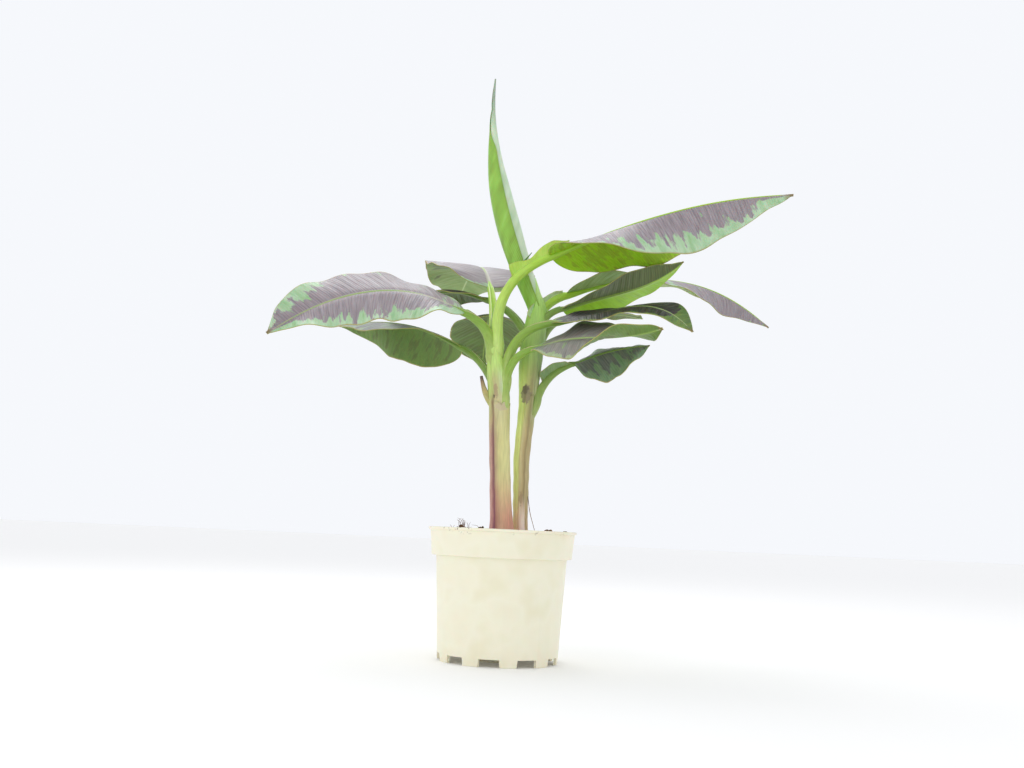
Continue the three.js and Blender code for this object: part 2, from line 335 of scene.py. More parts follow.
feet, first_foot, notch_width, notch_height = 10, -79.4, 27, 9.5
bpy.ops.object.select_all(action="DESELECT")
cutters = []
for k in range(feet):
    between = math.radians(first_foot + (k + 0.5) * 360 / feet)
    bpy.ops.mesh.primitive_cube_add(size=1, location=(0, 0, 0))
    cutter = bpy.context.object
    for vertex in cutter.data.vertices:
        taper = 1.08 if vertex.co.z < 0 else 0.94
        vertex.co.x = (foot_radius + 20 * vertex.co.x + 6) * MM
        vertex.co.y *= notch_width * taper * MM
        vertex.co.z = (vertex.co.z * 2 * notch_height) * MM
    cutter.data.transform(Matrix.Rotation(between, 4, "Z"))
    cutters.append(cutter)
select_only(cutters[0])
for cutter in cutters:
    cutter.select_set(True)
bpy.ops.object.join()
notch_cutter = bpy.context.object
apply_modifier(pot_wall, "BOOLEAN", operation="DIFFERENCE", solver="EXACT", object=notch_cutter)
bpy.data.objects.remove(notch_cutter, do_unlink=True)
select_only(pot_wall)
bpy.ops.object.shade_smooth_by_angle(angle=math.radians(32))
print("pot:", len(pot_wall.data.vertices), "points, width", pot_wall.dimensions.x)

# %% [markdown]
# The plastic is pale cream, satin, and very slightly uneven where it cooled. Specks of compost
# cling to the band just under the lip and the lowest part is a little dusty.

# %% The pot's plastic
plastic, tree, shader = new_material("cream_polypropylene", 0.42, 1.49,
                                     Subsurface_Weight=0.15, Subsurface_Scale=0.004)
place = add_node(tree, "ShaderNodeTexCoord", out="Object")
height = add_node(tree, "ShaderNodeSeparateXYZ", {0: place}, out="Z")
# slow clouds some 40 mm across, from the mould's cooling
clouds = add_node(tree, "ShaderNodeTexNoise", {"Vector": place, "Scale": 24.0, "Detail": 2.0})
tint = add_node(tree, "ShaderNodeValToRGB", {"Fac": clouds}, [(0.3, "#efe9cd"), (0.5, "#f4efd8"),
                                                              (0.7, "#f2ecd3")])
# specks about 1 mm across, most of them close under the lip
specks = add_node(tree, "ShaderNodeTexNoise", {"Vector": place, "Scale": 330.0, "Detail": 1.0})
under_lip = add_node(tree, "ShaderNodeMapRange", {"Value": height, 1: 0.156, 2: 0.1612, 3: 0.0,
                                                  4: 0.75}, clamp=True)
patchy = add_node(tree, "ShaderNodeTexNoise", {"Vector": place, "Scale": 45.0, "Detail": 2.0})
clinging = add_node(tree, "ShaderNodeMapRange", {"Value": specks, 1: 0.60, 2: 0.64}, clamp=True)
gathered = add_node(tree, "ShaderNodeMapRange", {"Value": patchy, 1: 0.54, 2: 0.66}, clamp=True)
near_lip = add_node(tree, "ShaderNodeMath", {0: under_lip, 1: gathered}, operation="MULTIPLY")
speck_mask = add_node(tree, "ShaderNodeMath", {0: clinging, 1: near_lip}, operation="MULTIPLY")
soiled = add_node(tree, "ShaderNodeMix", {0: speck_mask, 6: tint, 7: colour("#6d563a")},
                  data_type="RGBA", out=2)
# dust rises some 20 mm from the feet
dust = add_node(tree, "ShaderNodeMapRange", {"Value": height, 1: 0.0, 2: 0.022, 3: 0.2, 4: 0.0},
                clamp=True)
dust_patches = add_node(tree, "ShaderNodeMath", {0: dust, 1: patchy}, operation="MULTIPLY")
dusty = add_node(tree, "ShaderNodeMix", {0: dust_patches, 6: soiled, 7: colour("#c9b98f")},
                 data_type="RGBA", out=2)
gloss = add_node(tree, "ShaderNodeMapRange", {"Value": clouds, 3: 0.36, 4: 0.5})
# the faint orange-peel of a moulded surface, drawn 2.5 mm wide so that it shows
peel = add_node(tree, "ShaderNodeTexNoise", {"Vector": place, "Scale": 400.0, "Detail": 1.0})
wire_up(tree, shader, dusty, peel, 0.12, 0.0003, gloss)
finish_piece(pot_wall, [plastic], ["pot"])
print("the pot is cream plastic")

# %% [markdown]
# ## The compost
#
# Peat compost fills the pot to a finger's width below the lip. It is never flat: one body with
# an uneven top gives the mass, and over a thousand crumbs, modelled once and scattered, give
# the broken surface. A root clump stands up at the left with fine fibres in it.

# %% The body of the compost
compost_top = 155


def ripples(x, y, spacing, seed):
    """Smooth unevenness from -1 to 1 whose hills are about one spacing apart."""
    dice = np.random.default_rng(seed)
    total = 0.0
    for _ in range(7):
        angle, phase = dice.uniform(0, FULL_TURN, 2)
        pace = FULL_TURN / (spacing * dice.uniform(0.7, 1.6))
        total = total + np.sin((x * math.cos(angle) + y * math.sin(angle)) * pace + phase)
    return total / 3.5


def compost_height(x, y):
    """The height of the compost's top, in millimetres."""
    mound = 3.5 * np.exp(-((x - 10) ** 2 + y ** 2) / 40 ** 2)
    left_clump = 11 * np.exp(-((x + 50) ** 2 + (y + 15) ** 2) / 12 ** 2)
    left_clump = left_clump + 7 * np.exp(-((x + 28) ** 2 + (y + 6) ** 2) / 9 ** 2)
    right_lumps = 8.5 * np.exp(-((x - 58) ** 2 + (y + 5) ** 2) / 13 ** 2)
    small_lump = 7 * np.exp(-((x - 80) ** 2 + (y + 2) ** 2) / 6 ** 2)
    rough = 1.5 * ripples(x, y, 22, 3) + 0.8 * ripples(x, y, 8, 4) + 0.35 * ripples(x, y, 3, 5)
    return compost_top + 1 + mound + left_clump + right_lumps + small_lump + rough


def compost_surface(u, v):
    """Out over the top from the axis, down the inside of the wall, and back under it."""
    angle = FULL_TURN * v
    gap = 0.3
    stops = [0, 0.86, 0.9, 0.93, 0.97, 1]
    r = np.interp(u, stops, [0, band_foot_radius - wall + 1.9, band_foot_radius - wall - gap,
                             shoulder_radius - wall - gap, foot_radius - wall - gap, 0])
    x, y = r * np.cos(angle), r * np.sin(angle)
    floor_top = floor_height + wall + gap
    low = np.interp(u, stops, [0, compost_top, band_foot + wall + gap, band_foot + gap,
                               floor_top, floor_top])
    z = np.where(u <= 0.861, compost_height(x, y), low)
    return np.stack([x, y, z], axis=1) * MM


compost_body = sheet("compost_body", (100, 160), compost_surface, lambda u, v: (u, v))
close_tube(compost_body)
print("compost body:", len(compost_body.data.vertices), "points")

# %% Crumbs and fibres
def stamp(name, template, places):
    """One mesh of many copies of a template, each put in place by its own 4 x 4 matrix."""
    mesh = template.data
    flat = np.empty(len(mesh.vertices) * 3)
    mesh.vertices.foreach_get("co", flat)
    points = np.c_[flat.reshape(-1, 3), np.ones(len(mesh.vertices))]
    faces = np.array([polygon.vertices[:] for polygon in mesh.polygons])
    copies = np.concatenate([(points @ np.array(place).T)[:, :3] for place in places])
    corners = np.concatenate([faces + k * len(points) for k in range(len(places))])
    stamped = bpy.data.meshes.new(name)
    stamped.from_pydata(copies.tolist(), [], corners.tolist())
    piece = bpy.data.objects.new(name, stamped)
    bpy.context.collection.objects.link(piece)
    bpy.data.objects.remove(template, do_unlink=True)
    return piece


def crumb(size, seed):
    """A lump of compost: an icosphere with its points pushed in and out."""
    bpy.ops.mesh.primitive_ico_sphere_add(subdivisions=2, radius=size)
    lump = bpy.context.object
    dice = np.random.default_rng(seed)
    for vertex in lump.data.vertices:
        vertex.co *= dice.uniform(0.72, 1.18)
    return lump


crumb_count = 1500
mouth_radius = band_foot_radius - wall
dice = np.random.default_rng(11)
crumb_places = []
for _ in range(crumb_count):
    r = (mouth_radius - 0.5) * math.sqrt(dice.uniform())
    angle = dice.uniform(0, FULL_TURN)
    size = dice.choice([0.8, 1.2, 1.8, 2.6], p=[0.4, 0.33, 0.2, 0.07])
    r = min(r, mouth_radius - size)
    x, y = r * math.cos(angle), r * math.sin(angle)
    z = float(compost_height(x, y)) + size * dice.uniform(-0.3, 0.6)
    spin = Matrix.Rotation(dice.uniform(0, 6.28), 4, "Z")
    tumble = Matrix.Rotation(dice.uniform(0, 6.28), 4, "X")
    squash = Matrix.Diagonal((*(size * dice.uniform(0.7, 1.3, 3)), 1))
    crumb_places.append(Matrix.Translation(Vector((x, y, z)) * MM) @ (spin @ tumble) @ squash)
crumbs = stamp("compost_crumbs", crumb(1 * MM, 5), crumb_places)
select_only(crumbs)
bpy.ops.object.shade_smooth_by_angle(angle=math.radians(50))
print("crumbs:", len(crumb_places))

# %% [markdown]
# ## How the leaves grow
#
# A banana leaf is one line in space: up the stem inside its sheath, out along the stalk, and on
# along the midrib to the tip. The line is walked in short steps whose slope and compass heading
# change smoothly. The blade then opens to both sides of it. These are the same numbers that
# shaped the frame's thin blades, so each detailed leaf lands on its own solid.

# %% The numbers of each leaf
# height, out: where it leaves its stem, and how far from the stem's axis, in millimetres.
# heading, turn: compass direction in degrees, and how much it swings to the tip.
# stalk, blade, width: lengths in millimetres. slopes: of the stalk's root, the neck, the middle
# and the tip, in degrees. roll, fold: the tilt about the rib, and how far each half stands up,
# at the base, middle and tip. curl bends each half. radii: of the stalk at root and neck.
leaf_parts = ("name", "stem", "height", "out", "heading", "turn", "stalk", "blade", "width",
              "slopes", "roll", "fold", "curl", "radii")
leaf_rows = [
    ("high_right", "tall", 405, 5, -22, 0, 145, 315, 130,
     [95, 22, 12, -2], [-20, 15, 50], [-10, -50, -45], -10, [9, 5]),
    ("broad_left", "tall", 390, 3, 197, 0, 70, 270, 115,
     [80, 24, -15, -40], [-30, -45, -60], [5, -5, 25], -10, [10, 5.5]),
    ("low_left", "tall", 350, 6, 150, 0, 75, 225, 105,
     [60, 30, 10, -5], [30, 30, 0], [-15, -50, -15], -5, [6.5, 4.5]),
    ("behind", "tall", 405, 5, 102, 5, 95, 240, 155,
     [85, 45, 5, -30], [2, 2, 0], [10, 0, -10], -10, [8, 4.5]),
    ("low_behind", "tall", 385, 8, 96, 0, 100, 175, 120,
     [80, 20, -20, -40], [0, 0, 0], [-10, -20, -20], -10, [6, 4]),
    ("dark_right", "tall", 362, 12, -26, -5, 104, 200, 80,
     [85, 8, 5, -50], [25, 20, 35], [10, -5, 10], -5, [8, 5]),
    ("twisted_right", "tall", 335, 10, -44, -5, 88, 205, 85,
     [90, 10, -5, 5], [30, 35, -45], [5, 0, 15], -5, [7, 4.5]),
    ("arching_right", "slim", 415, 2, 18, 0, 85, 330, 95,
     [90, 25, 0, -35], [-10, 15, 45], [20, -10, -45], -10, [10, 5.5]),
    ("lifted_right", "slim", 433, 5, -18, 5, 40, 172, 75,
     [60, 17, 14, 40], [-15, -15, -25], [-25, 5, 30], -10, [7, 4]),
    ("torn_right", "slim", 340, 12, -8, 0, 65, 105, 88,
     [65, 25, 15, 5], [35, 40, 30], [-20, -20, -20], -10, [7, 4]),
    ("back_left", "slim", 415, 6, 152, 0, 90, 180, 85,
     [60, 25, -5, -20], [0, 0, 0], [0, -10, -10], -10, [7, 5]),
    ("back_right", "slim", 405, 10, 35, 0, 80, 130, 60,
     [70, 15, 10, -5], [0, 0, 0], [0, 0, 0], -10, [7, 5]),
]
leaves = [dict(zip(leaf_parts, row)) for row in leaf_rows]

stems = {
    "tall": [[155, -1, -8, 18], [170, -2, -8, 15], [205, -5, -8, 13.5], [285, -10, -8, 13],
             [330, -12, -8, 14], [375, -18, -9, 13], [405, -23, -10, 9]],
    "slim": [[155, 23, 12, 11.5], [170, 22, 12, 9.5], [260, 20, 12, 10.5], [330, 25, 12, 11.5],
             [375, 26, 12, 15], [410, 28, 12, 16], [440, 32, 12, 14.5], [462, 34, 13, 12]],
}
print("leaves:", len(leaves))

# %% Walking along a leaf
STEPS = 200  # along a stalk, and as many again along its blade


def direction(heading, slope):
    """A unit vector from a compass heading and a slope, both in degrees."""
    h, s = np.radians(heading), np.radians(slope)
    return np.stack([np.cos(h) * np.cos(s), np.sin(h) * np.cos(s), np.sin(s) + 0 * h], axis=-1)


def along(values, t):
    """A smooth curve through evenly spaced values, read at t from 0 to 1."""
    values = np.asarray(values, dtype=float)
    last = len(values) - 1
    x = np.clip(t, 0, 1) * last
    i = np.minimum(np.floor(x).astype(int), last - 1)
    f = x - i
    a, b, c, d = (values[np.clip(i + k, 0, last)] for k in (-1, 0, 1, 2))
    return 0.5 * (2 * b + (c - a) * f + (2 * a - 5 * b + 4 * c - d) * f ** 2
                  + (3 * b - a - 3 * c + d) * f ** 3)


def ease(x, low=0.0, high=1.0):
    """0 below low, 1 above high, and a smooth step between."""
    f = np.clip((np.asarray(x, dtype=float) - low) / (high - low), 0, 1)
    return f * f * (3 - 2 * f)


def hump(x, middle, spread):
    """1 at the middle, falling away smoothly to both sides."""
    return np.exp(-((x - middle) / spread) ** 2)


def stem_at(stem, height):
    """The stem's centre and radius at a height, with the rings' corners eased."""
    rings = np.array(stems[stem], dtype=float)
    near = [np.stack([np.interp(np.asarray(height) + step, rings[:, 0], rings[:, k])
                      for k in (1, 2, 3)], axis=-1) for step in (-9, -5, 0, 5, 9)]
    return sum(near) / len(near)


def grow(leaf):
    """Stations from the root, at 0, past the neck, at 1, to the tip, at 2."""
    x, y, _ = stem_at(leaf["stem"], leaf["height"])
    root = np.array([x, y, leaf["height"]]) + leaf["out"] * direction(leaf["heading"], 0)
    t = (np.arange(STEPS) + 0.5) / STEPS
    rise, neck, middle, tip = leaf["slopes"]
    slope = np.concatenate([rise + (neck - rise) * ease(t), along([neck, middle, tip], t)])
    heading = np.concatenate([leaf["heading"] + 0 * t, leaf["heading"] + leaf["turn"] * t])
    stride = np.repeat([leaf["stalk"] / STEPS, leaf["blade"] / STEPS], STEPS)
    steps = direction(heading, slope)
    points = np.vstack([root, root + np.cumsum(steps * stride[:, None], axis=0)])
    tangents = np.vstack([steps[:1], steps])
    headings = np.concatenate([heading[:1], heading])
    return {"s": np.linspace(0, 2, 2 * STEPS + 1), "points": points, "tangents": tangents,
            "sides": direction(headings + 90, 0), "leaf": leaf}


def read(path, s):
    """The point, left side and normal of a leaf's line at s."""
    point, tangent, side = (np.stack([np.interp(s, path["s"], path[key][:, k]) for k in range(3)],
                                     axis=-1) for key in ("points", "tangents", "sides"))
    tangent /= np.linalg.norm(tangent, axis=-1, keepdims=True)
    side /= np.linalg.norm(side, axis=-1, keepdims=True)
    return point, side, np.cross(tangent, side)


paths = {leaf["name"]: grow(leaf) for leaf in leaves}
print("tip of the highest blade:", paths["high_right"]["points"][-1].round(1))

# %% The surface of a blade
WIDEST = 0.4  # where along its length a blade is broadest


def outline(t):
    """The breadth at t as a part of the full width: a round base and a long pointed tip."""
    base = np.sqrt(1 - (1 - np.clip(t / WIDEST, 0, 1)) ** 2.4)
    taper = (1 - np.clip((t - WIDEST) / (1 - WIDEST), 0, 1) ** 2.1) ** 0.95
    return np.where(t < WIDEST, base, taper)


def blade_point(path, t, v, wave=0.0):
    """t runs along the blade, v across it from the right margin, -1, to the left, 1."""
    leaf = path["leaf"]
    point, side, normal = read(path, 1 + t)
    roll, fold = (np.radians(along(leaf[key], t)) for key in ("roll", "fold"))
    curl = math.radians(leaf["curl"])
    half = leaf["width"] / 2 * np.maximum(outline(t), 0.04)
    bend = fold + curl * np.abs(v)
    reach = half * (np.sin(bend) - np.sin(fold)) / curl
    lift = half * (np.cos(fold) - np.cos(bend)) / curl + wave
    cos, sin = np.cos(roll)[:, None], np.sin(roll)[:, None]
    across, up = side * cos + normal * sin, normal * cos - side * sin
    return point + across * (np.sign(v) * reach)[:, None] + up * lift[:, None]


def tube_point(point, side, normal, radius, angle):
    """A point of a tube. The angle starts under the line and turns past its left to its top."""
    around = side * np.sin(angle)[:, None] - normal * np.cos(angle)[:, None]
    return point + around * radius[:, None]


print("a blade's breadth at a tenth of its length:", outline(np.array([0.1])).round(2))

# %% [markdown]
# ## The stems
#
# A banana's stem is no wood: it is a bundle of leaf sheaths, each wrapped round the next. So
# each stem here is a core tube with creases where sheaths meet, and an outer sheath laid over
# its front as a thin shell of its own, dry and torn at the top where its leaf was lost.

# %% Stem tubes
STEM_FOOT = 148  # the stems start a little below the compost's top, in millimetres
TALL_TOP = 410  # where the tall stem's own tube ends


def around_stem(stem, height, v, extra):
    """A point on a stem: v is 0 at the back, a quarter at the left and a half in front."""
    x, y, radius = stem_at(stem, height).T
    angle = FULL_TURN * v
    radius = radius + extra
    return np.stack([x - radius * np.sin(angle), y + radius * np.cos(angle), height], axis=1)


rolled = {"name": "rolled", "stem": "slim", "height": 455, "out": 0, "heading": 0, "turn": 0,
          "stalk": 15, "blade": 318, "slopes": [108, 114, 103, 88]}
rolled_path = grow(rolled)
# above its last ring the slim stem follows the rolled leaf that stands in it
for s, radius in ((1.0, 12.8), (1.06, 13.3), (1.14, 14.4)):
    point = read(rolled_path, np.array([s]))[0][0]
    stems["slim"].append([float(point[2]), float(point[0]), float(point[1]), radius])


def knots_of(height, v, seed):
    """Slow unevenness that meets itself at the back of the stem."""
    angle = FULL_TURN * v
    return 0.35 * ripples(height + 7 * np.sin(angle), 7 * np.cos(angle), 25, seed)


def creases(v, places, depth, spread):
    """Grooves along a stem, where one leaf base laps over the next."""
    return -depth * sum(hump(v, place, spread) for place in places)


def tall_surface(u, v):
    height = STEM_FOOT + u * (TALL_TOP - STEM_FOOT)
    seams = creases(v, [0.398], 1.6, 0.018) + creases(v, [0.08, 0.2, 0.71, 0.88], 0.7, 0.02)
    ribs = 0.14 * np.sin(FULL_TURN * (23 * v + 0.2 * np.sin(height / 31)))
    knots = knots_of(height, v, 21)
    top = -9 * ease(height, 396, 411)
    return around_stem("tall", height, v, seams + ribs + knots + top) * MM


def mouth_of(v):
    """The oblique top edge of the slim stem, where it wraps the rolled leaf."""
    return 480 + 26 * np.cos(FULL_TURN * (v - 0.82))


def slim_surface(u, v):
    height = STEM_FOOT + u * (mouth_of(v) - STEM_FOOT)
    fade = 1 - 0.6 * ease(height, 380, 440)
    seams = creases(v, [0.43, 0.625], 0.9, 0.016) + creases(v, [0.1, 0.25, 0.8], 0.5, 0.02)
    ribs = 0.12 * np.sin(FULL_TURN * (19 * v + 0.2 * np.sin(height / 27)))
    knots = knots_of(height, v, 22) - 7 * ease(u, 0.99, 1)
    return around_stem("slim", height, v, seams * fade + ribs + knots) * MM


def stem_pattern(u, v):
    """The stems' map in metres: some 300 mm long and 90 mm round."""
    return 0.3 * u, 0.09 * v


stem_tall = sheet("stem_tall_core", (150, 96), tall_surface, stem_pattern)
close_tube(stem_tall)
stem_slim = sheet("stem_slim_core", (170, 80), slim_surface, stem_pattern)
close_tube(stem_slim)
print("stems:", len(stem_tall.data.polygons) + len(stem_slim.data.polygons), "faces")


# %% The outer sheaths, torn at the top
def sheath_shell(name, stem, bounds, top, raggedness, seed):
    """A thin shell over part of a stem, from below the compost to a ragged top edge."""
    first, last = bounds

    def surface(u, v):
        turn = first + (last - first) * v
        jag = raggedness * (0.6 * ripples(turn * 100, 0 * turn, 9, seed)
                            + 0.4 * ripples(turn * 100, 0 * turn, 3, seed + 1))
        height = STEM_FOOT + u * (top + jag - STEM_FOOT)
        tuck = 1 - hump(v, 0, 0.06) - hump(v, 1, 0.06)
        lift = (0.9 * tuck - 0.3 + 0.5 * ease(u, 0.96, 1)
                + 0.15 * ripples(height, turn * 80, 20, seed))
        return around_stem(stem, height, turn, lift) * MM

    piece = sheet(name, (150, 44), surface,
                  lambda u, v: (0.18 * u, 0.09 * (first + (last - first) * v)))
    set_attribute(piece, "turn", first + (last - first) * attribute_values(piece, "across"))
    apply_modifier(piece, "SOLIDIFY", thickness=0.8 * MM, offset=0)
    face_outwards(piece)
    bpy.ops.object.shade_smooth_by_angle(angle=math.radians(50))
    return piece


for stem in (stem_tall, stem_slim):
    set_attribute(stem, "turn", attribute_values(stem, "across"))
tall_sheath = sheath_shell("stem_tall_sheath", "tall", (0.415, 0.72), 326, 3.0, 31)
slim_sheath = sheath_shell("stem_slim_sheath", "slim", (0.455, 0.6), 340, 4.0, 35)
print("outer sheaths reach", [round(piece.dimensions.z, 3) for piece in (tall_sheath, slim_sheath)])

# %% [markdown]
# Sheath skin is waxy and satin. Its colour changes round the stem, from one sheath to the next,
# and up it: salmon and plum at the base, straw in the middle and green near the fork. So there
# is a colour ramp for each of several heights. It reads how far round the stem a point is, and
# the point's height blends one ramp into the next. Fine fibres run lengthwise, 2 mm apart.

# %% The skin of the stems
def stem_skin(name, levels, patches):
    """Skin whose colours round the stem blend from level to level, with dried patches."""
    material, tree, shader = new_material(name, 0.45, 1.45, Subsurface_Weight=0.12,
                                          Subsurface_Scale=0.003)
    place = add_node(tree, "ShaderNodeTexCoord", out="Object")
    height = add_node(tree, "ShaderNodeSeparateXYZ", {0: place}, out="Z")
    turn = add_node(tree, "ShaderNodeAttribute", attribute_name="turn", out="Fac")
    # fibres: noise drawn out 12 times along the stem
    drawn = add_node(tree, "ShaderNodeMapping", {"Vector": place, "Scale": (1, 1, 0.08)})
    fibre = add_node(tree, "ShaderNodeTexNoise", {"Vector": drawn, "Scale": 520.0, "Detail": 3.0})
    cloud = add_node(tree, "ShaderNodeTexNoise", {"Vector": place, "Scale": 60.0, "Detail": 3.0})
    wander = add_node(tree, "ShaderNodeMapRange", {"Value": cloud, 3: -0.02, 4: 0.02})
    wavy = add_node(tree, "ShaderNodeMath", {0: turn, 1: wander}, operation="ADD")
    skin = None
    for low, high, stops in levels:
        ramp = add_node(tree, "ShaderNodeValToRGB", {"Fac": wavy}, stops)
        if skin is None:
            skin = ramp
            continue
        rise = add_node(tree, "ShaderNodeMapRange", {"Value": height, 1: low, 2: high}, clamp=True,
                        interpolation_type="SMOOTHSTEP")
        skin = add_node(tree, "ShaderNodeMix", {0: rise, 6: skin, 7: ramp}, data_type="RGBA", out=2)
    # each fibre is a little darker or lighter than the skin between
    shade = add_node(tree, "ShaderNodeMapRange", {"Value": fibre, 1: 0.3, 2: 0.7, 3: 0.99, 4: 1.24})
    skin = add_node(tree, "ShaderNodeMix", {0: 1.0, 6: skin, 7: shade}, data_type="RGBA",
                    blend_type="MULTIPLY", out=2)
    freckle = add_node(tree, "ShaderNodeTexNoise", {"Vector": place, "Scale": 260.0, "Detail": 2.0})
    for middle, reach, code, strength in patches:
        # a patch is an ellipse in turn and height, with a frayed edge
        away = add_node(tree, "ShaderNodeMath", {0: turn, 1: middle[0]}, operation="SUBTRACT")
        away = add_node(tree, "ShaderNodeMath", {0: away, 1: reach[0]}, operation="DIVIDE")
        above = add_node(tree, "ShaderNodeMath", {0: height, 1: middle[1]}, operation="SUBTRACT")
        above = add_node(tree, "ShaderNodeMath", {0: above, 1: reach[1]}, operation="DIVIDE")
        both = add_node(tree, "ShaderNodeCombineXYZ", {0: away, 1: above})
        far = add_node(tree, "ShaderNodeVectorMath", {0: both}, operation="LENGTH", out="Value")
        frayed = add_node(tree, "ShaderNodeMath", {0: freckle, 1: 1.4, 2: far},
                          operation="MULTIPLY_ADD")
        patch = add_node(tree, "ShaderNodeMapRange", {"Value": frayed, 1: 1.45, 2: 1.75,
                                                      3: strength, 4: 0.0}, clamp=True)
        skin = add_node(tree, "ShaderNodeMix", {0: patch, 6: skin, 7: colour(code)},
                        data_type="RGBA", out=2)
    wire_up(tree, shader, skin, fibre, 0.35, 0.0005)
    return material


tall_levels = [
    (0, 0, [(0.24, "#c98c80"), (0.35, "#cb9488"), (0.39, "#8f5562"), (0.43, "#b57c6a"),
            (0.50, "#d6a888"), (0.60, "#dc9c84"), (0.74, "#c88b75")]),
    (0.165, 0.25, [(0.24, "#bd9c88"), (0.35, "#b18878"), (0.39, "#7d5555"), (0.425, "#a58c6e"),
                   (0.49, "#c8c084"), (0.60, "#d6d192"), (0.74, "#c3b681")]),
    (0.27, 0.325, [(0.24, "#b6c176"), (0.35, "#b2ad72"), (0.39, "#947f60"), (0.44, "#bcb284"),
                   (0.53, "#cac493"), (0.63, "#bdb67a"), (0.74, "#b0b873")]),
    (0.325, 0.345, [(0.24, "#b1c566"), (0.36, "#b4c873"), (0.44, "#b3ae78"), (0.50, "#b6b880"),
                    (0.56, "#c6d3a6"), (0.63, "#c0d598"), (0.74, "#a9c268")]),
    (0.35, 0.38, [(0.24, "#a9c75c"), (0.40, "#b4d072"), (0.55, "#bad778"), (0.74, "#9ebe5a")])]
tall_skin = stem_skin("banana_sheath_maroon", tall_levels,
                      [((0.53, 0.321), (0.10, 0.0055), "#c9bb98", 0.85),
                       ((0.655, 0.3255), (0.05, 0.0022), "#5c4233", 0.9),
                       ((0.42, 0.334), (0.02, 0.003), "#4a362c", 0.9),
                       ((0.46, 0.341), (0.035, 0.010), "#a07c66", 0.55)])
slim_levels = [
    (0, 0, [(0.25, "#dde597"), (0.42, "#f0dcb4"), (0.50, "#fadfcb"), (0.575, "#fbe2cf"),
            (0.60, "#c3a678"), (0.75, "#dcc8a2")]),
    (0.17, 0.215, [(0.25, "#d6e782"), (0.42, "#dbe494"), (0.47, "#cdbf8f"), (0.53, "#b3a070"),
                   (0.56, "#94825a"), (0.60, "#b9aa7b"), (0.75, "#a8976b")]),
    (0.28, 0.33, [(0.25, "#d2e47f"), (0.40, "#cad77e"), (0.50, "#aead6c"), (0.55, "#8f875a"),
                  (0.62, "#a9ae7c"), (0.75, "#9ba56c")]),
    (0.35, 0.40, [(0.25, "#8fae55"), (0.42, "#94b35a"), (0.52, "#9cb668"), (0.60, "#8ea867"),
                  (0.75, "#7f9c57")]),
    (0.41, 0.45, [(0.25, "#8fb54e"), (0.50, "#a3c869"), (0.75, "#98bf5c")]),
    (0.45, 0.48, [(0.25, "#9cc653"), (0.50, "#b2d878"), (0.75, "#bfe08c")])]
slim_skin = stem_skin("banana_sheath_green", slim_levels,
                      [((0.455, 0.341), (0.10, 0.013), "#8d8168", 0.85),
                       ((0.44, 0.347), (0.06, 0.006), "#5f5344", 0.7),
                       ((0.50, 0.205), (0.035, 0.010), "#94785a", 0.5)])
finish_piece(stem_tall, [tall_skin], ["stem_tall"])
finish_piece(tall_sheath, [tall_skin])
finish_piece(stem_slim, [slim_skin], ["stem_slim"])
finish_piece(slim_sheath, [slim_skin])
print("both stems have their skin")

# %% [markdown]
# ## Leaf stalks and ribs
#
# Each leaf stalk is half a pipe: round below, with a channel along its top between two raised
# margins. It comes out of its sheath, bends away from the stem and runs on under the blade as
# the midrib, thinner and thinner to the tip. One tube follows the whole line.

# %% Stalk tubes
SHEATH = 46  # how far the stalk's own sheath is followed down the stem, in millimetres
RIB_TIP = 0.55  # the radius of the midrib where it ends, in millimetres


def stalk_line(path, s):
    """The line of sheath, stalk and rib: s is -1 in the stem, 0 at the root, 1 at the neck."""
    leaf = path["leaf"]
    point, side, normal = read(path, np.maximum(s, 0))
    down = np.minimum(s, 0)
    height = leaf["height"] + down * SHEATH
    x, y, stem_radius = stem_at(leaf["stem"], height).T
    offset = leaf["out"] * ease(down, -1, 0)[:, None] * direction(leaf["heading"], 0)
    inside = np.stack([x, y, height], axis=1) + offset
    point = np.where(s[:, None] < 0, inside, point)
    root, neck = leaf["radii"]
    radius = root + (neck - root) * np.sqrt(np.clip(s, 0, 1))
    snug = stem_radius * 0.6 + (root - stem_radius * 0.6) * ease(down, -0.95, 0.0)
    radius = np.where(s < 0, snug, radius)
    rib = np.clip(s - 1, 0, 1)
    thinning = (1 - rib) ** 1.25 * (1 - 0.25 * ease(rib, 0, 0.1))
    radius = np.where(s > 1, RIB_TIP + (neck - RIB_TIP) * thinning, radius)
    roll = np.radians(along(leaf["roll"], rib)) * ease(s, 0.5, 1)
    cos, sin = np.cos(roll)[:, None], np.sin(roll)[:, None]
    return point, side * cos + normal * sin, normal * cos - side * sin, radius


def stalk_surface(path):
    def surface(u, v):
        s = np.interp(u, [0, 0.16, 0.5, 1], [-1, 0, 1, 1.985])
        point, side, up, radius = stalk_line(path, s)
        angle = FULL_TURN * v
        channel = 0.42 * hump(v, 0.5, 0.075) * ease(s, -0.7, 0.15)
        margins = 0.13 * (hump(v, 0.385, 0.03) + hump(v, 0.615, 0.03)) * ease(s, -0.4, 0.3)
        flat = ease(s, 0.95, 1.12)
        channel = channel * (1 - flat) + 0.8 * hump(v, 0.5, 0.22) * flat
        profile = 1 - channel + margins * (1 - flat)
        point = point - up * (0.5 * radius * flat)[:, None]
        return tube_point(point, side, up, radius * profile, angle) * MM
    return surface


stalks = {}
for name, path in paths.items():
    leaf = path["leaf"]
    reach = (SHEATH + leaf["stalk"] + leaf["blade"]) * MM
    tube = sheet(f"stalk_and_rib_{name}", (170, 40), stalk_surface(path),
                 lambda u, v, reach=reach: (reach * u, 0.03 * v))
    close_tube(tube)
    line = attribute_values(tube, "along")
    set_attribute(tube, "stage", np.interp(line, [0, 0.16, 0.5, 1], [0, 0.25, 0.6, 1]))
    stalks[name] = tube
print("stalks:", len(stalks))

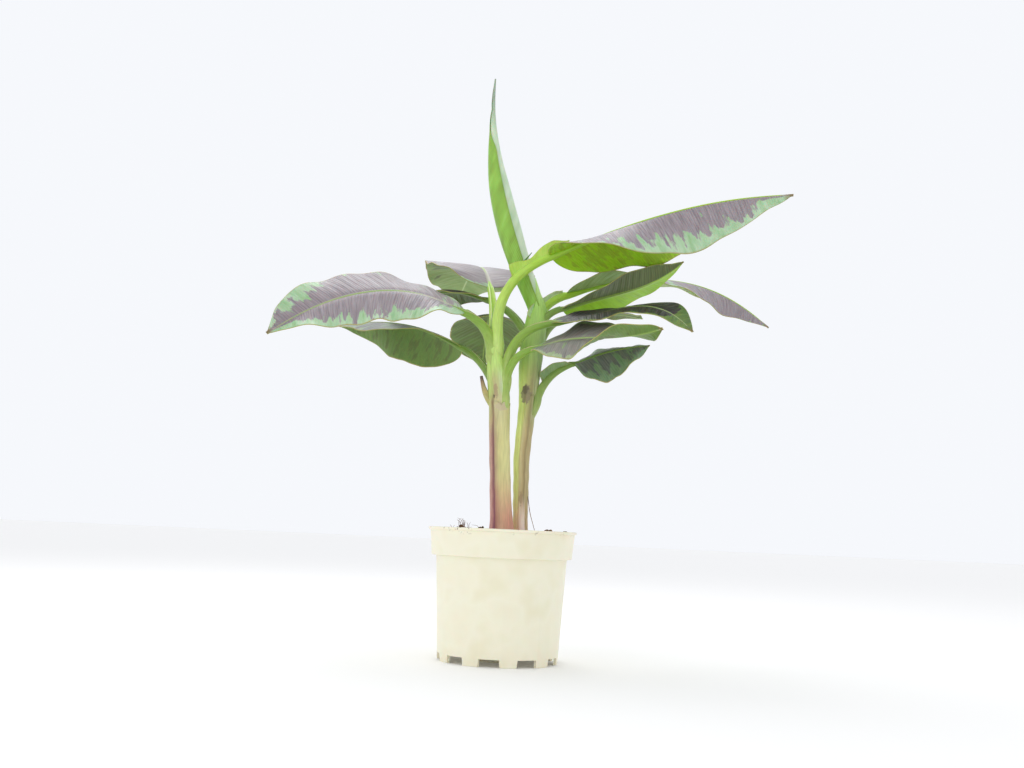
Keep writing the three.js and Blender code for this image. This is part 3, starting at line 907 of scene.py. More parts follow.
# %% [markdown]
# Stalk skin is smooth and waxy, yellow-green, paler low down, with a thin cream or rosy line
# along each margin of the channel. Its fibres show as faint streaks about a millimetre apart.

# %% The skin of the stalks
def stalk_skin(name, shades, margin):
    """shades: from the sheath through the stalk to the rib's tip."""
    material, tree, shader = new_material(name, 0.38, 1.45, Subsurface_Weight=0.15,
                                          Subsurface_Scale=0.003)
    stage = add_node(tree, "ShaderNodeAttribute", attribute_name="stage", out="Fac")
    across = add_node(tree, "ShaderNodeAttribute", attribute_name="across", out="Fac")
    place = add_node(tree, "ShaderNodeUVMap", uv_map="surface")
    cloud = add_node(tree, "ShaderNodeTexNoise", {"Vector": place, "Scale": 55.0, "Detail": 2.0})
    # streaks: noise 1 mm wide round the stalk, drawn out 14 times along it
    drawn = add_node(tree, "ShaderNodeMapping", {"Vector": place, "Scale": (0.07, 1, 1)})
    streak = add_node(tree, "ShaderNodeTexNoise", {"Vector": drawn, "Scale": 700.0, "Detail": 2.0})
    shift = add_node(tree, "ShaderNodeMapRange", {"Value": cloud, 3: -0.08, 4: 0.08})
    moved = add_node(tree, "ShaderNodeMath", {0: stage, 1: shift}, operation="ADD")
    base = add_node(tree, "ShaderNodeValToRGB", {"Fac": moved}, shades)
    shade = add_node(tree, "ShaderNodeMapRange", {"Value": streak, 1: 0.3, 2: 0.7, 3: 0.88, 4: 1.1})
    skin = add_node(tree, "ShaderNodeMix", {0: 1.0, 6: base, 7: shade}, data_type="RGBA",
                    blend_type="MULTIPLY", out=2)
    off_top = add_node(tree, "ShaderNodeMath", {0: across, 1: 0.5}, operation="SUBTRACT")
    off_top = add_node(tree, "ShaderNodeMath", {0: off_top}, operation="ABSOLUTE")
    off_line = add_node(tree, "ShaderNodeMath", {0: off_top, 1: 0.112}, operation="SUBTRACT")
    off_line = add_node(tree, "ShaderNodeMath", {0: off_line}, operation="ABSOLUTE")
    line = add_node(tree, "ShaderNodeMapRange", {"Value": off_line, 1: 0.010, 2: 0.026, 3: 0.8,
                                                 4: 0.0}, clamp=True)
    on_stalk = add_node(tree, "ShaderNodeMapRange", {"Value": stage, 1: 0.58, 2: 0.63, 3: 1.0,
                                                     4: 0.0}, clamp=True)
    line = add_node(tree, "ShaderNodeMath", {0: line, 1: on_stalk}, operation="MULTIPLY")
    skin = add_node(tree, "ShaderNodeMix", {0: line, 6: skin, 7: colour(margin)}, data_type="RGBA",
                    out=2)
    gloss = add_node(tree, "ShaderNodeMapRange", {"Value": cloud, 3: 0.3, 4: 0.46})
    wire_up(tree, shader, skin, streak, 0.3, 0.0003, gloss)
    return material


stalk_looks = {
    "fresh": stalk_skin("young_stalk_waxy_green", [(0.0, "#b1c872"), (0.2, "#c2dc7c"),
                        (0.4, "#bcdc64"), (0.6, "#a6d03f"), (1.0, "#a9ce4c")], "#e9efb9"),
    "rosy": stalk_skin("stalk_green_with_rosy_margins", [(0.0, "#b5bf76"), (0.16, "#b4c673"),
                       (0.4, "#8fb148"), (0.6, "#7fa63e"), (1.0, "#a9b884")], "#d9b79c"),
    "shaded": stalk_skin("shaded_stalk_green", [(0.0, "#a9b070"), (0.16, "#9cb262"),
                         (0.4, "#7c9a45"), (0.6, "#6f9038"), (1.0, "#8aa052")], "#c8cfa0"),
}
stalk_look = {"high_right": "fresh", "behind": "fresh", "arching_right": "fresh",
              "broad_left": "rosy", "twisted_right": "rosy", "dark_right": "rosy"}
for name, tube in stalks.items():
    finish_piece(tube, [stalk_looks[stalk_look.get(name, "shaded")]],
                 [f"stalk_{name}"])
print("stalk skins:", list(stalk_looks))

# %% [markdown]
# ## The blades
#
# A blade is less than a millimetre thick, pleated by its side veins and waved at its margins.
# It starts as a grid laid over the same surface as its frame solid; waves and pleats are then
# added, and Solidify gives it a top, an underside and a rim, each with its own material.

# %% Blade sheets
BLADE = 0.9  # thickness, in millimetres


def blade_surface(path, waves, seed, near_cut=None):
    """waves: how many along each margin, and how high they stand, in millimetres."""
    leaf = path["leaf"]
    dice = np.random.default_rng(seed)
    phases = dice.uniform(0, FULL_TURN, 6)
    count, height = waves

    def surface(u, v):
        v = 2 * v - 1
        edge = np.abs(v)
        left = v > 0
        turn = FULL_TURN * count * u
        margin = np.where(left, np.sin(turn + phases[0]) + 0.5 * np.sin(2.3 * turn + phases[1]),
                          np.sin(0.9 * turn + phases[2]) + 0.5 * np.sin(2.1 * turn + phases[3]))
        ends = ease(u, 0, 0.12) * ease(1 - u, 0, 0.1)
        half = leaf["width"] / 2 * outline(u)
        # pleats stand 9 mm apart and lean to the tip as the side veins do
        pleat = np.sin(FULL_TURN * (u * leaf["blade"] - 0.35 * edge * half) / 9 + phases[4])
        valley = -1.2 * hump(edge * half, 0, 5)
        folds = 0.28 * pleat * ease(edge, 0.05, 0.4) * ease(1 - edge, 0, 0.25)
        wave = ends * (height * margin * edge ** 2.2 + folds) + valley * ends
        ragged = 1 + ends * (0.010 * np.sin(23 * u + phases[5]) + 0.004 * np.sin(61 * u + phases[1]))
        reach = v * np.where(edge > 0.5, ragged, 1)
        if near_cut:
            # the near half starts late, at a tear across the blade
            torn = ease(u + 0.02 * np.sin(9 * edge), *near_cut)
            reach = np.where(left, reach, reach * (0.1 + 0.9 * torn))
        return blade_point(path, u, reach, wave) * MM
    return surface


def flush_and_shade_of(name, t, v):
    """How willing the blade is to flush maroon at a point, from 0 to 1; on lifted_right it also
    marks the half of the underside that is painted in shade.
    """
    edge = np.abs(v)
    right, left = v < 0, v > 0
    value = (0.92 - 0.25 * ease(edge, 0.75, 1) - 0.35 * ease(t, 0.93, 1)
             - 0.3 * (1 - ease(t, 0, 0.12)))
    if name == "high_right":
        value = value - 0.75 * hump(t, 0.9, 0.10) * ease(edge, 0.0, 0.4)
        value = value - right * (0.62 * hump(t, 0.5, 0.24) * ease(edge, 0.25, 0.8))
        value = value - right * (0.45 * hump(t, 0.72, 0.1) * ease(edge, 0.5, 0.9))
    if name == "broad_left":
        value = value - 0.6 * ease(t, 0.7, 0.95) * ease(edge, 0.1, 0.6)
        value = value - left * (0.55 * ease(edge, 0.3, 0.9))
        value = value - right * (0.55 * hump(t, 0.75, 0.12) * ease(edge, 0.2, 0.7))
        value = value - 0.4 * (1 - ease(t, 0.05, 0.2))
    if name == "behind":
        value = value - 0.5 * ease(t, 0.35, 0.8)
    if name == "arching_right":
        value = value - 0.6 * (1 - ease(t, 0.1, 0.3)) - 0.4 * hump(t, 0.45, 0.1)
    if name == "torn_right":
        value = value - 0.35 * ease(edge, 0.2, 0.9) - 0.2
    if name == "low_left":
        value = value - 0.2
    if name == "twisted_right":
        value = value - 0.4 * ease(t, 0.5, 0.9) - 0.35 * ease(edge, 0.6, 1)
    if name == "dark_right":
        value = value + 0.1 - 0.9 * ease(t, 0.76, 0.88) - right * 0.4 * ease(edge, 0.5, 1)
    if name == "lifted_right":
        # the right half takes the dark colours, painted shade, and the left half the light ones,
        # painted light
        value = np.where(right, 1.0, 0.0) * ease(edge, 0, 0.08) - 0.2 * ease(edge, 0.6, 1)
    return np.clip(value, 0, 1)


wave_of = {"high_right": (2.2, 3.5), "broad_left": (2.6, 4.0), "low_left": (1.5, 2.5),
           "behind": (2.4, 3.5), "arching_right": (2.8, 2.5), "torn_right": (1.8, 2.5),
           "twisted_right": (2.2, 3.0), "dark_right": (1.8, 2.0)}
blades = {}
for k, (name, path) in enumerate(paths.items()):
    leaf = path["leaf"]
    near_cut = (0.02, 0.10) if name == "torn_right" else None
    surface = blade_surface(path, wave_of.get(name, (1.8, 2.0)), 50 + k, near_cut)

    def pattern(u, v, leaf=leaf):
        return leaf["blade"] * MM * u, (2 * v - 1) * leaf["width"] / 2 * outline(u) * MM

    blade = sheet(f"leaf_{name}", (180, 56), surface, pattern)
    t, v = attribute_values(blade, "along"), 2 * attribute_values(blade, "across") - 1
    set_attribute(blade, "edge", np.abs(v))
    set_attribute(blade, "flush_and_shade", flush_and_shade_of(name, t, v))
    for _ in ("top", "underside", "rim"):
        blade.data.materials.append(None)  # Solidify shares out only the slots that are there
    apply_modifier(blade, "SOLIDIFY", thickness=BLADE * MM, offset=0, material_offset=1,
                   material_offset_rim=2)
    select_only(blade)
    bpy.ops.object.shade_smooth()
    blades[name] = blade
print("blades:", {name: len(blade.data.polygons) for name, blade in blades.items()})

# %% [markdown]
# Young bananas of the blood-leaved kind flush maroon in blotches that run with the side veins,
# on a green ground. The top is waxy and mirrors the sky; on the lit tops that silvery sheen is
# painted into the colour, and the tops of leaves in shadow are painted in shade. The underside is
# plain green, painted as a lime glow on the leaf lit from behind, and on one leaf painted lit on
# one half and in shade on the other. Side veins leave the rib every 3.4 mm and lean to the tip.
# The pattern is drawn on the blade's own map, in metres, so its grain follows the leaf however it
# bends.

# %% The skin of the blades
VEIN = 0.0034  # from one side vein to the next, in metres
WAVE_PERIOD = FULL_TURN / 20  # the wave texture repeats at this distance at a scale of 1


def blade_skin(name, flush, green, rib, cover, roughness, glow=0.25, vein_strength=0.3):
    """flush and green: dark and light, in some undersides painted shade and painted glow. cover:
    from -1, nearly all green, to 1, mostly flushed.
    """
    material, tree, shader = new_material(name, roughness, 1.45, Subsurface_Weight=glow,
                                          Subsurface_Scale=0.002)
    flat = add_node(tree, "ShaderNodeUVMap", uv_map="surface")
    split = add_node(tree, "ShaderNodeSeparateXYZ", {0: flat}).node.outputs
    away = add_node(tree, "ShaderNodeMath", {0: split["Y"]}, operation="ABSOLUTE")
    slant = add_node(tree, "ShaderNodeMath", {0: away, 1: -0.35, 2: split["X"]},
                     operation="MULTIPLY_ADD")
    on_veins = add_node(tree, "ShaderNodeCombineXYZ", {0: slant, 1: split["Y"]})
    vein = add_node(tree, "ShaderNodeTexWave", {"Vector": on_veins, "Scale": WAVE_PERIOD / VEIN,
                                                "Distortion": 0.8, "Detail": 1.0,
                                                "Detail Scale": 0.3}, out="Fac")
    # blotches: noise 12 mm wide, drawn out 3 times along the veins
    drawn = add_node(tree, "ShaderNodeMapping", {"Vector": on_veins, "Scale": (1, 0.33, 1)})
    blotch = add_node(tree, "ShaderNodeTexNoise", {"Vector": drawn, "Scale": 85.0, "Detail": 5.0,
                                                   "Roughness": 0.6})
    # streaks: noise 2 mm wide, drawn out 12 times
    thin = add_node(tree, "ShaderNodeMapping", {"Vector": on_veins, "Scale": (1, 0.08, 1)})
    streak = add_node(tree, "ShaderNodeTexNoise", {"Vector": thin, "Scale": 480.0, "Detail": 3.0})
    # the flush map also carries the painted shade on one half of lifted_right
    flush_and_shade = add_node(tree, "ShaderNodeAttribute", attribute_name="flush_and_shade", out="Fac")
    will = add_node(tree, "ShaderNodeMath", {0: blotch, 1: 1.9}, operation="MULTIPLY")
    for part, share in ((flush_and_shade, 0.75), (streak, 0.25)):
        will = add_node(tree, "ShaderNodeMath", {0: part, 1: share, 2: will},
                        operation="MULTIPLY_ADD")
    edge_of_flush = 1.62 - 0.2 * cover
    flushed = add_node(tree, "ShaderNodeMapRange", {"Value": will, 1: edge_of_flush - 0.05,
                                                    2: edge_of_flush + 0.05}, clamp=True)
    dark = add_node(tree, "ShaderNodeValToRGB", {"Fac": streak}, [(0.35, flush[0]), (0.65,
                                                                                     flush[1])])
    light = add_node(tree, "ShaderNodeValToRGB", {"Fac": blotch}, [(0.35, green[0]), (0.65,
                                                                                      green[1])])
    skin = add_node(tree, "ShaderNodeMix", {0: flushed, 6: light, 7: dark}, data_type="RGBA", out=2)
    line = add_node(tree, "ShaderNodeMapRange", {"Value": vein, 1: 0.8, 2: 1.0, 3: 0.0,
                                                 4: vein_strength}, clamp=True)
    # the rib's pale band is some 6 mm wide at the base and 1 mm at the tip
    tip = add_node(tree, "ShaderNodeAttribute", attribute_name="along", out="Fac")
    narrow = add_node(tree, "ShaderNodeMapRange", {"Value": tip, 3: 0.0030, 4: 0.0006})
    inside = add_node(tree, "ShaderNodeMath", {0: narrow, 1: away}, operation="SUBTRACT")
    band = add_node(tree, "ShaderNodeMapRange", {"Value": inside, 1: -0.0008, 2: 0.0006, 3: 0.0,
                                                 4: 0.85}, clamp=True)
    edge = add_node(tree, "ShaderNodeAttribute", attribute_name="edge", out="Fac")
    rim = add_node(tree, "ShaderNodeMapRange", {"Value": edge, 1: 0.965, 2: 0.99, 3: 0.0, 4: 0.7},
                   clamp=True)
    # the very tip dries first
    dry = add_node(tree, "ShaderNodeMath", {0: streak, 1: 0.04, 2: tip}, operation="MULTIPLY_ADD")
    dry = add_node(tree, "ShaderNodeMapRange", {"Value": dry, 1: 0.985, 2: 1.01, 3: 0.0, 4: 0.9},
                   clamp=True)
    for mask, code in ((line, rib), (band, rib), (rim, "#b3a468"), (dry, "#7d6a3c")):
        skin = add_node(tree, "ShaderNodeMix", {0: mask, 6: skin, 7: colour(code)},
                        data_type="RGBA", out=2)
    gloss = add_node(tree, "ShaderNodeMapRange", {"Value": blotch, 1: 0.3, 2: 0.7,
                                                  3: roughness - 0.06, 4: roughness + 0.08})
    lift = add_node(tree, "ShaderNodeMath", {0: streak, 1: 0.5, 2: vein}, operation="MULTIPLY_ADD")
    wire_up(tree, shader, skin, lift, 0.4, 0.0004, gloss)
    return material


tops = {
    # these tops have the sky's silvery sheen painted into their maroon and green
    "painted_sheen": blade_skin("leaf_top_maroon_painted_sheen", ("#83787e", "#a0969b"), ("#93bd88", "#c0d9ba"),
                          "#b9b5a2", 1.0, 0.34, 0.2, 0.2),
    # these tops are the maroon and green painted in shade, for leaves that lie in shadow
    "dark": blade_skin("leaf_top_maroon_painted_shade", ("#302b30", "#464044"), ("#4f6a3c", "#7f9a48"),
                       "#6d7658", 1.0, 0.42, 0.2, 0.1),
    "olive": blade_skin("leaf_top_olive_maroon", ("#67625f", "#827d78"), ("#7d9664", "#a9bb8e"),
                        "#a3ab78", 0.5, 0.38, 0.2, 0.2),
    "greyed": blade_skin("leaf_top_grey_green", ("#65676a", "#7d8079"), ("#78946f", "#93ad88"),
                         "#93a37c", 0.6, 0.4, 0.2, 0.2),
}
undersides = {
    # this underside is painted glow: its greens are lifted to the lime of a blade lit through from
    # behind
    "painted_glow": blade_skin("leaf_underside_painted_backlit_glow", ("#8db122", "#9abd2e"), ("#97cb1c", "#aede34"),
                         "#bde04a", -0.6, 0.45, 0.35, 0.15),
    # this underside is painted: its dark pair is painted shade and its light pair painted light, one on
    # each half of lifted_right
    "half": blade_skin("leaf_underside_half_lit", ("#525f34", "#5f6c3e"), ("#7fac1f", "#93c42b"),
                       "#9dc04b", 0.9, 0.45, 0.3, 0.12),
    "olive": blade_skin("leaf_underside_olive", ("#56682f", "#5f7335"), ("#5b7831", "#6d8d3d"),
                        "#8fab4d", -0.4, 0.5, 0.25, 0.1),
    "pale": blade_skin("leaf_underside_pale", ("#7b8a63", "#86946c"), ("#86a45c", "#9fba78"),
                       "#c2d39b", -0.4, 0.5, 0.25, 0.12),
}
rim_skin, rim_tree, rim_shader = new_material("leaf_margin", 0.6, 1.45)
rim_noise = add_node(rim_tree, "ShaderNodeTexNoise", {"Vector": add_node(rim_tree,
                                                                         "ShaderNodeTexCoord",
                                                                         out="Object"),
                                                      "Scale": 90.0, "Detail": 3.0})
rim_tint = add_node(rim_tree, "ShaderNodeValToRGB", {"Fac": rim_noise}, [(0.35, "#8f9a4e"), (0.55,
                                                                                             "#b0b060"),
                                                                         (0.7, "#a58a58")])
rim_tree.links.new(rim_tint, rim_shader.inputs["Base Color"])

skin_of = {"high_right": ("painted_sheen", "painted_glow"), "broad_left": ("painted_sheen", "olive"),
           "low_left": ("greyed", "olive"), "behind": ("painted_sheen", "pale"),
           "low_behind": ("olive", "olive"), "dark_right": ("dark", "olive"),
           "twisted_right": ("olive", "olive"), "arching_right": ("painted_sheen", "pale"),
           "lifted_right": ("greyed", "half"), "torn_right": ("greyed", "olive"),
           "back_left": ("dark", "olive"), "back_right": ("olive", "olive")}
for name, blade in blades.items():
    top, under = skin_of[name]
    finish_piece(blade, [tops[top], undersides[under], rim_skin], [f"blade_{name}"])
print("blade skins:", len(tops) + len(undersides))

# %% [markdown]
# ## The newest leaf
#
# A new banana leaf comes up rolled like a cigar and opens from one side. Here one margin has
# come free: the sheet is a spiral seen from above, bright green where it is a single layer in
# front, and pale with wax and a painted highlight on the roll behind. Towards the tip it is
# still tight.

# %% The rolled leaf
roll_radii = [12, 15, 17, 15, 9, 3, 0.8]


def rolled_surface(u, v):
    line = np.interp(u, [0, 0.06, 1], [0, 1, 2])
    point, side, normal = read(rolled_path, line)
    t = np.clip(line - 1, 0, 1)
    start = 16 - 100 * ease(t, 0.66, 0.83) + 45 * hump(t, 0.86, 0.02) - 60 * ease(t, 0.9, 1)
    angle = np.radians(start - 425 * v)
    radius = along(roll_radii, t) * (1 - 0.15 * v) + 0.9 * hump(v, 0, 0.06) * ease(t, 0.1, 0.3)
    radius = radius * (1 + 0.03 * np.sin(9 * t + 3 * angle))
    # front is where the side vector points away from, right is away from the normal
    out = side * -np.cos(angle)[:, None] - normal * np.sin(angle)[:, None]
    return (point + out * radius[:, None]) * MM


rolled_leaf = sheet("leaf_rolled", (150, 130), rolled_surface, lambda u, v: (0.33 * u, 0.24 * v))
set_attribute(rolled_leaf, "layer", attribute_values(rolled_leaf, "across"))
apply_modifier(rolled_leaf, "SOLIDIFY", thickness=0.6 * MM, offset=0)
select_only(rolled_leaf)
bpy.ops.object.shade_smooth()

new_skin, tree, shader = new_material("new_leaf_waxy", 0.4, 1.45, Subsurface_Weight=0.3,
                                      Subsurface_Scale=0.002)
layer = add_node(tree, "ShaderNodeAttribute", attribute_name="layer", out="Fac")
tip = add_node(tree, "ShaderNodeAttribute", attribute_name="along", out="Fac")
flat = add_node(tree, "ShaderNodeUVMap", uv_map="surface")
split = add_node(tree, "ShaderNodeSeparateXYZ", {0: flat}).node.outputs
# side veins 3.4 mm apart lean up and away from the rib
slant = add_node(tree, "ShaderNodeMath", {0: split["Y"], 1: 0.5, 2: split["X"]},
                 operation="MULTIPLY_ADD")
on_veins = add_node(tree, "ShaderNodeCombineXYZ", {0: slant, 1: split["Y"]})
vein = add_node(tree, "ShaderNodeTexWave", {"Vector": on_veins, "Scale": WAVE_PERIOD / VEIN,
                                            "Distortion": 1.0, "Detail": 1.0, "Detail Scale": 0.3},
                out="Fac")
drawn = add_node(tree, "ShaderNodeMapping", {"Vector": on_veins, "Scale": (1, 0.3, 1)})
cloud = add_node(tree, "ShaderNodeTexNoise", {"Vector": drawn, "Scale": 60.0, "Detail": 4.0})
green = add_node(tree, "ShaderNodeValToRGB", {"Fac": cloud}, [(0.3, "#7f9f30"), (0.42, "#86b33a"),
                                                              (0.6, "#93c646"), (0.75, "#a7d46a")])
# the roll behind is pale with wax, with a painted highlight laid into its colour
pale = add_node(tree, "ShaderNodeValToRGB", {"Fac": cloud}, [(0.3, "#b9d3ae"), (0.7, "#dbe9cf")])
behind = add_node(tree, "ShaderNodeMapRange", {"Value": layer, 1: 0.40, 2: 0.46}, clamp=True)
skin = add_node(tree, "ShaderNodeMix", {0: behind, 6: green, 7: pale}, data_type="RGBA", out=2)
shadow = add_node(tree, "ShaderNodeMapRange", {"Value": layer, 1: 0.0, 2: 0.05, 3: 0.5, 4: 0.0},
                  clamp=True)
grey = add_node(tree, "ShaderNodeMapRange", {"Value": tip, 1: 0.78, 2: 0.92, 3: 0.0, 4: 0.8},
                clamp=True)
line = add_node(tree, "ShaderNodeMapRange", {"Value": vein, 1: 0.7, 2: 1.0, 3: 0.0, 4: 0.16},
                clamp=True)
for mask, code in ((shadow, "#7d9a3a"), (grey, "#8a9c8a"), (line, "#dcebb8")):
    skin = add_node(tree, "ShaderNodeMix", {0: mask, 6: skin, 7: colour(code)}, data_type="RGBA",
                    out=2)
gloss = add_node(tree, "ShaderNodeMapRange", {"Value": cloud, 3: 0.34, 4: 0.5})
wire_up(tree, shader, skin, vein, 0.3, 0.0004, gloss)
finish_piece(rolled_leaf, [new_skin], ["blade_rolled"])
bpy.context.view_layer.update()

# %% [markdown]
# ## Small pieces of the crown
#
# A folded spear stands in the fork of the tall stem, a dead stalk is left on its side, and
# narrow wings of blade run down some stalks. All are small sheets and tubes on the same lines.

# %% Spear and dead stalk
def limb(name, leaf, radii, stretch, cells, profile):
    """A tube on a leaf's line, with radii read along it. profile(t, v) makes it less round."""
    path = grow(leaf)

    def surface(u, v):
        t = np.interp(u, [0, 0.02, 0.98, 1], [0, 0.001, 0.999, 1])
        point, side, normal = read(path, t * stretch)
        radius = along(radii, t) * profile(t, v)
        return tube_point(point, side, normal, radius, FULL_TURN * v) * MM

    length = (leaf["stalk"] + leaf["blade"]) * MM
    tube = sheet(name, cells, surface, lambda u, v: (length * u, 0.02 * v))
    close_tube(tube)
    set_attribute(tube, "stage", attribute_values(tube, "along"))
    return tube


spear_leaf = {"name": "spear", "stem": "tall", "height": 400, "out": -3, "heading": -10, "turn": 0,
              "stalk": 90, "blade": 50, "slopes": [95, 60, 55, 50]}
spear = limb("leaf_spear", spear_leaf, [2.5, 4, 3.5, 0.6], 2, (70, 24),
             lambda t, v: 1 - 0.45 * hump(v, 0.5, 0.05) - 0.25 * np.abs(np.cos(FULL_TURN * v)))
spear_skin = stalk_skin("folded_spear_green", [(0.0, "#a9c878"), (0.5, "#8fb552"),
                        (0.68, "#5f8a3a"), (1.0, "#4f7a34")], "#dfe9b4")
finish_piece(spear, [spear_skin], ["blade_spear"])

dead_leaf = {"name": "dead", "stem": "tall", "height": 325, "out": 9, "heading": 180, "turn": 0,
             "stalk": 40, "blade": 6, "slopes": [55, 78, 80, 80]}
dead = limb("stalk_dead_stub", dead_leaf, [5, 4, 2], 1, (60, 32),
            lambda t, v: 1 - 0.3 * hump(v, 0.5, 0.09) + 0.09 * np.sin(FULL_TURN * 5 * v + 7 * t)
            + 0.1 * ease(t, 0.8, 1) * np.sin(FULL_TURN * 3 * v + 2))
dead_skin = stalk_skin("dried_stalk_brown", [(0.0, "#b3b56c"), (0.45, "#bcae72"), (0.75, "#a08a64"),
                       (0.88, "#6d5646"), (1.0, "#4b3b33")], "#cdbb8a")
finish_piece(dead, [dead_skin], ["stalk_dead"])
print("spear and dead stalk:", len(spear.data.polygons), len(dead.data.polygons))

# %% Wings of blade on the stalks
WING = 0.7  # thickness, in millimetres


def wing(name, leaf_name, reach, lean, height, material):
    """A sheet along a stalk's right margin, from reach[0] to reach[1]. height(f) is in millimetres."""
    path = paths[leaf_name]

    def surface(u, v):
        s = reach[0] + (reach[1] - reach[0]) * u
        point, side, up, radius = stalk_line(path, s)
        out = up * math.cos(math.radians(lean)) - side * math.sin(math.radians(lean))
        start = up * (radius * 0.55)[:, None] - side * (radius * 0.62)[:, None]
        rise = height(u) * v + 0.5 * np.sin(14 * u) * v ** 2
        curl = side * (1.6 * v ** 2)[:, None]
        return (point + start + out * rise[:, None] - curl) * MM

    length = (reach[1] - reach[0]) * path["leaf"]["stalk"] * MM
    piece = sheet(name, (60, 16), surface, lambda u, v: (length * u, 0.004 + 0.014 * v))
    set_attribute(piece, "edge", attribute_values(piece, "across"))
    set_attribute(piece, "flush_and_shade", np.zeros(len(piece.data.vertices)))
    piece.data.attributes["along"].data.foreach_set(
        "value", (0.1 * attribute_values(piece, "along")).astype(np.float32))
    apply_modifier(piece, "SOLIDIFY", thickness=WING * MM, offset=0)
    face_outwards(piece)
    bpy.ops.object.shade_smooth()
    finish_piece(piece, [material])
    return piece


wing_skin = blade_skin("wing_fresh_green", ("#9db84c", "#a8c255"), ("#a3cc45", "#b9dc60"),
                       "#cbe486", 0.1, 0.42, 0.35, 0.15)
wing_pale = blade_skin("wing_pale_green", ("#a9bd86", "#b4c795"), ("#a9cb8e", "#c8deb0"),
                       "#dcebc4", 0.1, 0.45, 0.35, 0.15)
wing_torn = blade_skin("wing_grey_green", ("#5f7350", "#6b7f58"), ("#6f8d58", "#86a36b"),
                       "#9db47f", 0.4, 0.45, 0.25, 0.15)
wings = [
    wing("wing_high_right", "high_right", (0.62, 1.10), 15,
         lambda f: 15 * ease(f, -0.02, 0.1) - 10 * hump(f, 0.45, 0.22) - 9 * ease(f, 0.85, 1),
         wing_skin),
    wing("wing_arching_right", "arching_right", (0.25, 0.95), 20,
         lambda f: 16 * ease(f, -0.02, 0.12) - 9 * ease(f, 0.2, 0.6) - 4 * ease(f, 0.8, 1),
         wing_pale),
    wing("wing_torn_right", "torn_right", (0.30, 0.98), 35,
         lambda f: 11 * ease(f, -0.02, 0.15) - 9 * ease(f, 0.85, 1), wing_torn),
]
print("wings:", len(wings))

# %% Root fibres
def thread(name, points, radius, sides=8):
    """A thin tube through points, in millimetres."""
    points = np.array(points, dtype=float)
    steps = 12 * (len(points) - 1)
    fine = np.stack([along(points[:, k], np.linspace(0, 1, steps + 1)) for k in range(3)], axis=1)
    ahead = np.gradient(fine, axis=0)
    ahead /= np.linalg.norm(ahead, axis=1, keepdims=True)
    side = np.cross(ahead, (0.3, 0.9, 0.2))
    side /= np.linalg.norm(side, axis=1, keepdims=True)
    up = np.cross(ahead, side)

    def surface(u, v):
        i = np.round(u * steps).astype(int)
        size = radius * (1 - 0.6 * u)
        return tube_point(fine[i], side[i], up[i], size, FULL_TURN * v) * MM

    tube = sheet(name, (steps, sides), surface, lambda u, v: (0.05 * u, 0.002 * v))
    close_tube(tube)
    return tube


dice = np.random.default_rng(17)
fibres = [thread("fibre_by_stem", [(30.5, 8, 209), (33.5, 6, 190), (38, 3, 174), (43, 0, 160),
                                   (48, -4, 156)], 0.55)]
fibre_count, standing_count = 26, 14
for k in range(fibre_count):
    # rather more than half of the fibres stand in the clump at the left, the rest lie flat
    standing = k < standing_count
    if standing:
        x, y = -50 + dice.normal(0, 6), -15 + dice.normal(0, 6)
    else:
        r, angle = 72 * math.sqrt(dice.uniform(0.1, 1)), dice.uniform(0, FULL_TURN)
        x, y = r * math.cos(angle), r * math.sin(angle)
    z = float(compost_height(x, y))
    lean = dice.uniform(0, FULL_TURN)
    tall = dice.uniform(6, 15) if standing else dice.uniform(1.5, 4)
    far = dice.uniform(3, 9) if standing else dice.uniform(9, 16)
    bend = [(x, y, z - 2),
            (x + 0.4 * far * math.cos(lean), y + 0.4 * far * math.sin(lean), z + tall * 0.7),
            (x + far * math.cos(lean + 0.5), y + far * math.sin(lean + 0.5), z + tall)]
    fibres.append(thread(f"fibre_{k}", bend, dice.uniform(0.25, 0.45), 6))
select_only(fibres[0])
for fibre in fibres:
    fibre.select_set(True)
bpy.ops.object.join()
root_fibres = bpy.context.object
root_fibres.name = "root_fibres"
print("fibres:", len(fibres))

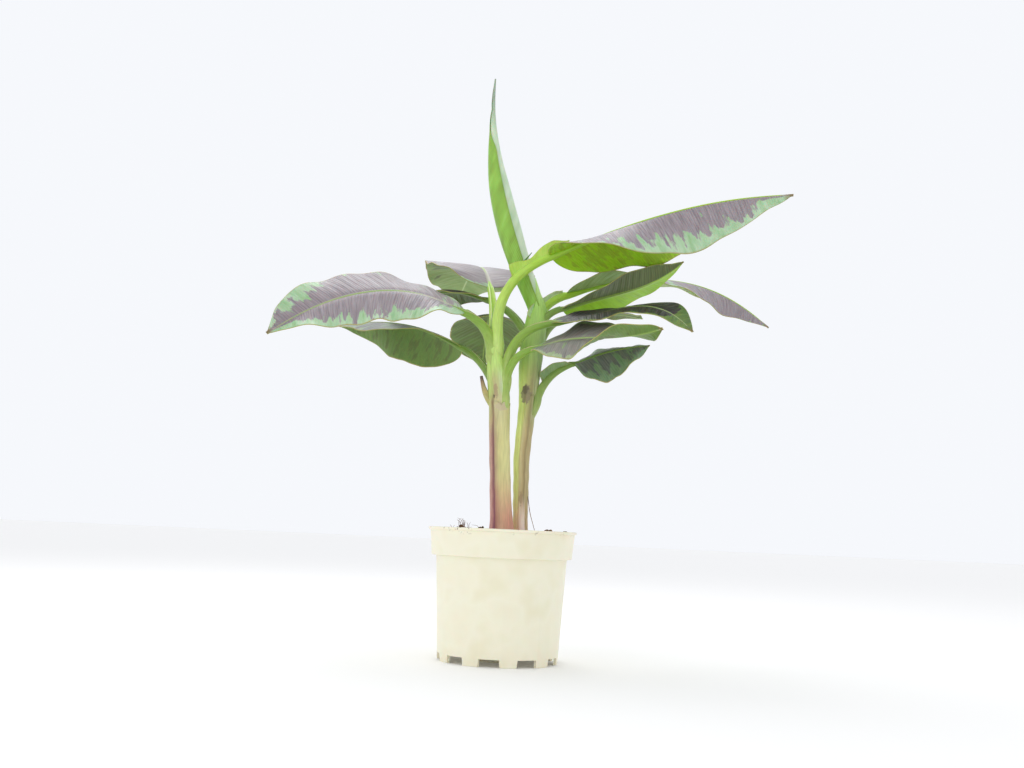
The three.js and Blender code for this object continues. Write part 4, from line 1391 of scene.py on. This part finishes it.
# %% [markdown]
# Peat compost is dark brown and fully matt, with lighter dry crumbs and a few straw-coloured
# specks of fibre and bark. The crumbs are real shapes; the material adds grain of about a
# millimetre, and finer, between them.

# %% The look of compost and fibres
peat, tree, shader = new_material("peat_compost", 0.95, 1.4)
place = add_node(tree, "ShaderNodeTexCoord", out="Object")
damp = add_node(tree, "ShaderNodeTexNoise", {"Vector": place, "Scale": 40.0, "Detail": 3.0})
grain = add_node(tree, "ShaderNodeTexNoise", {"Vector": place, "Scale": 900.0, "Detail": 4.0,
                                              "Roughness": 0.7})
ground = add_node(tree, "ShaderNodeValToRGB", {"Fac": damp}, [(0.35, "#4a3728"), (0.5, "#6a503a"),
                                                              (0.68, "#8a6d4e")])
fleck = add_node(tree, "ShaderNodeTexVoronoi", {"Vector": place, "Scale": 330.0}, out="Distance")
straw = add_node(tree, "ShaderNodeMapRange", {"Value": fleck, 1: 0.05, 2: 0.16, 3: 0.8, 4: 0.0},
                 clamp=True)
rare = add_node(tree, "ShaderNodeMapRange", {"Value": grain, 1: 0.52, 2: 0.6}, clamp=True)
speck = add_node(tree, "ShaderNodeMath", {0: straw, 1: rare}, operation="MULTIPLY")
soil_tint = add_node(tree, "ShaderNodeMix", {0: speck, 6: ground, 7: colour("#b59a6c")},
                     data_type="RGBA", out=2)
wire_up(tree, shader, soil_tint, grain, 0.8, 0.0006)

fibre_skin, tree, shader = new_material("dry_root_fibre", 0.8, 1.45)
place = add_node(tree, "ShaderNodeTexCoord", out="Object")
tone = add_node(tree, "ShaderNodeTexNoise", {"Vector": place, "Scale": 120.0, "Detail": 2.0})
fibre_tint = add_node(tree, "ShaderNodeValToRGB", {"Fac": tone}, [(0.35, "#6b4a3a"), (0.5,
                                                                                      "#8d6a50"),
                                                                  (0.65, "#a98b6a")])
tree.links.new(fibre_tint, shader.inputs["Base Color"])
finish_piece(compost_body, [peat], ["soil"])
finish_piece(crumbs, [peat])
finish_piece(root_fibres, [fibre_skin])
print("the compost is brown peat")
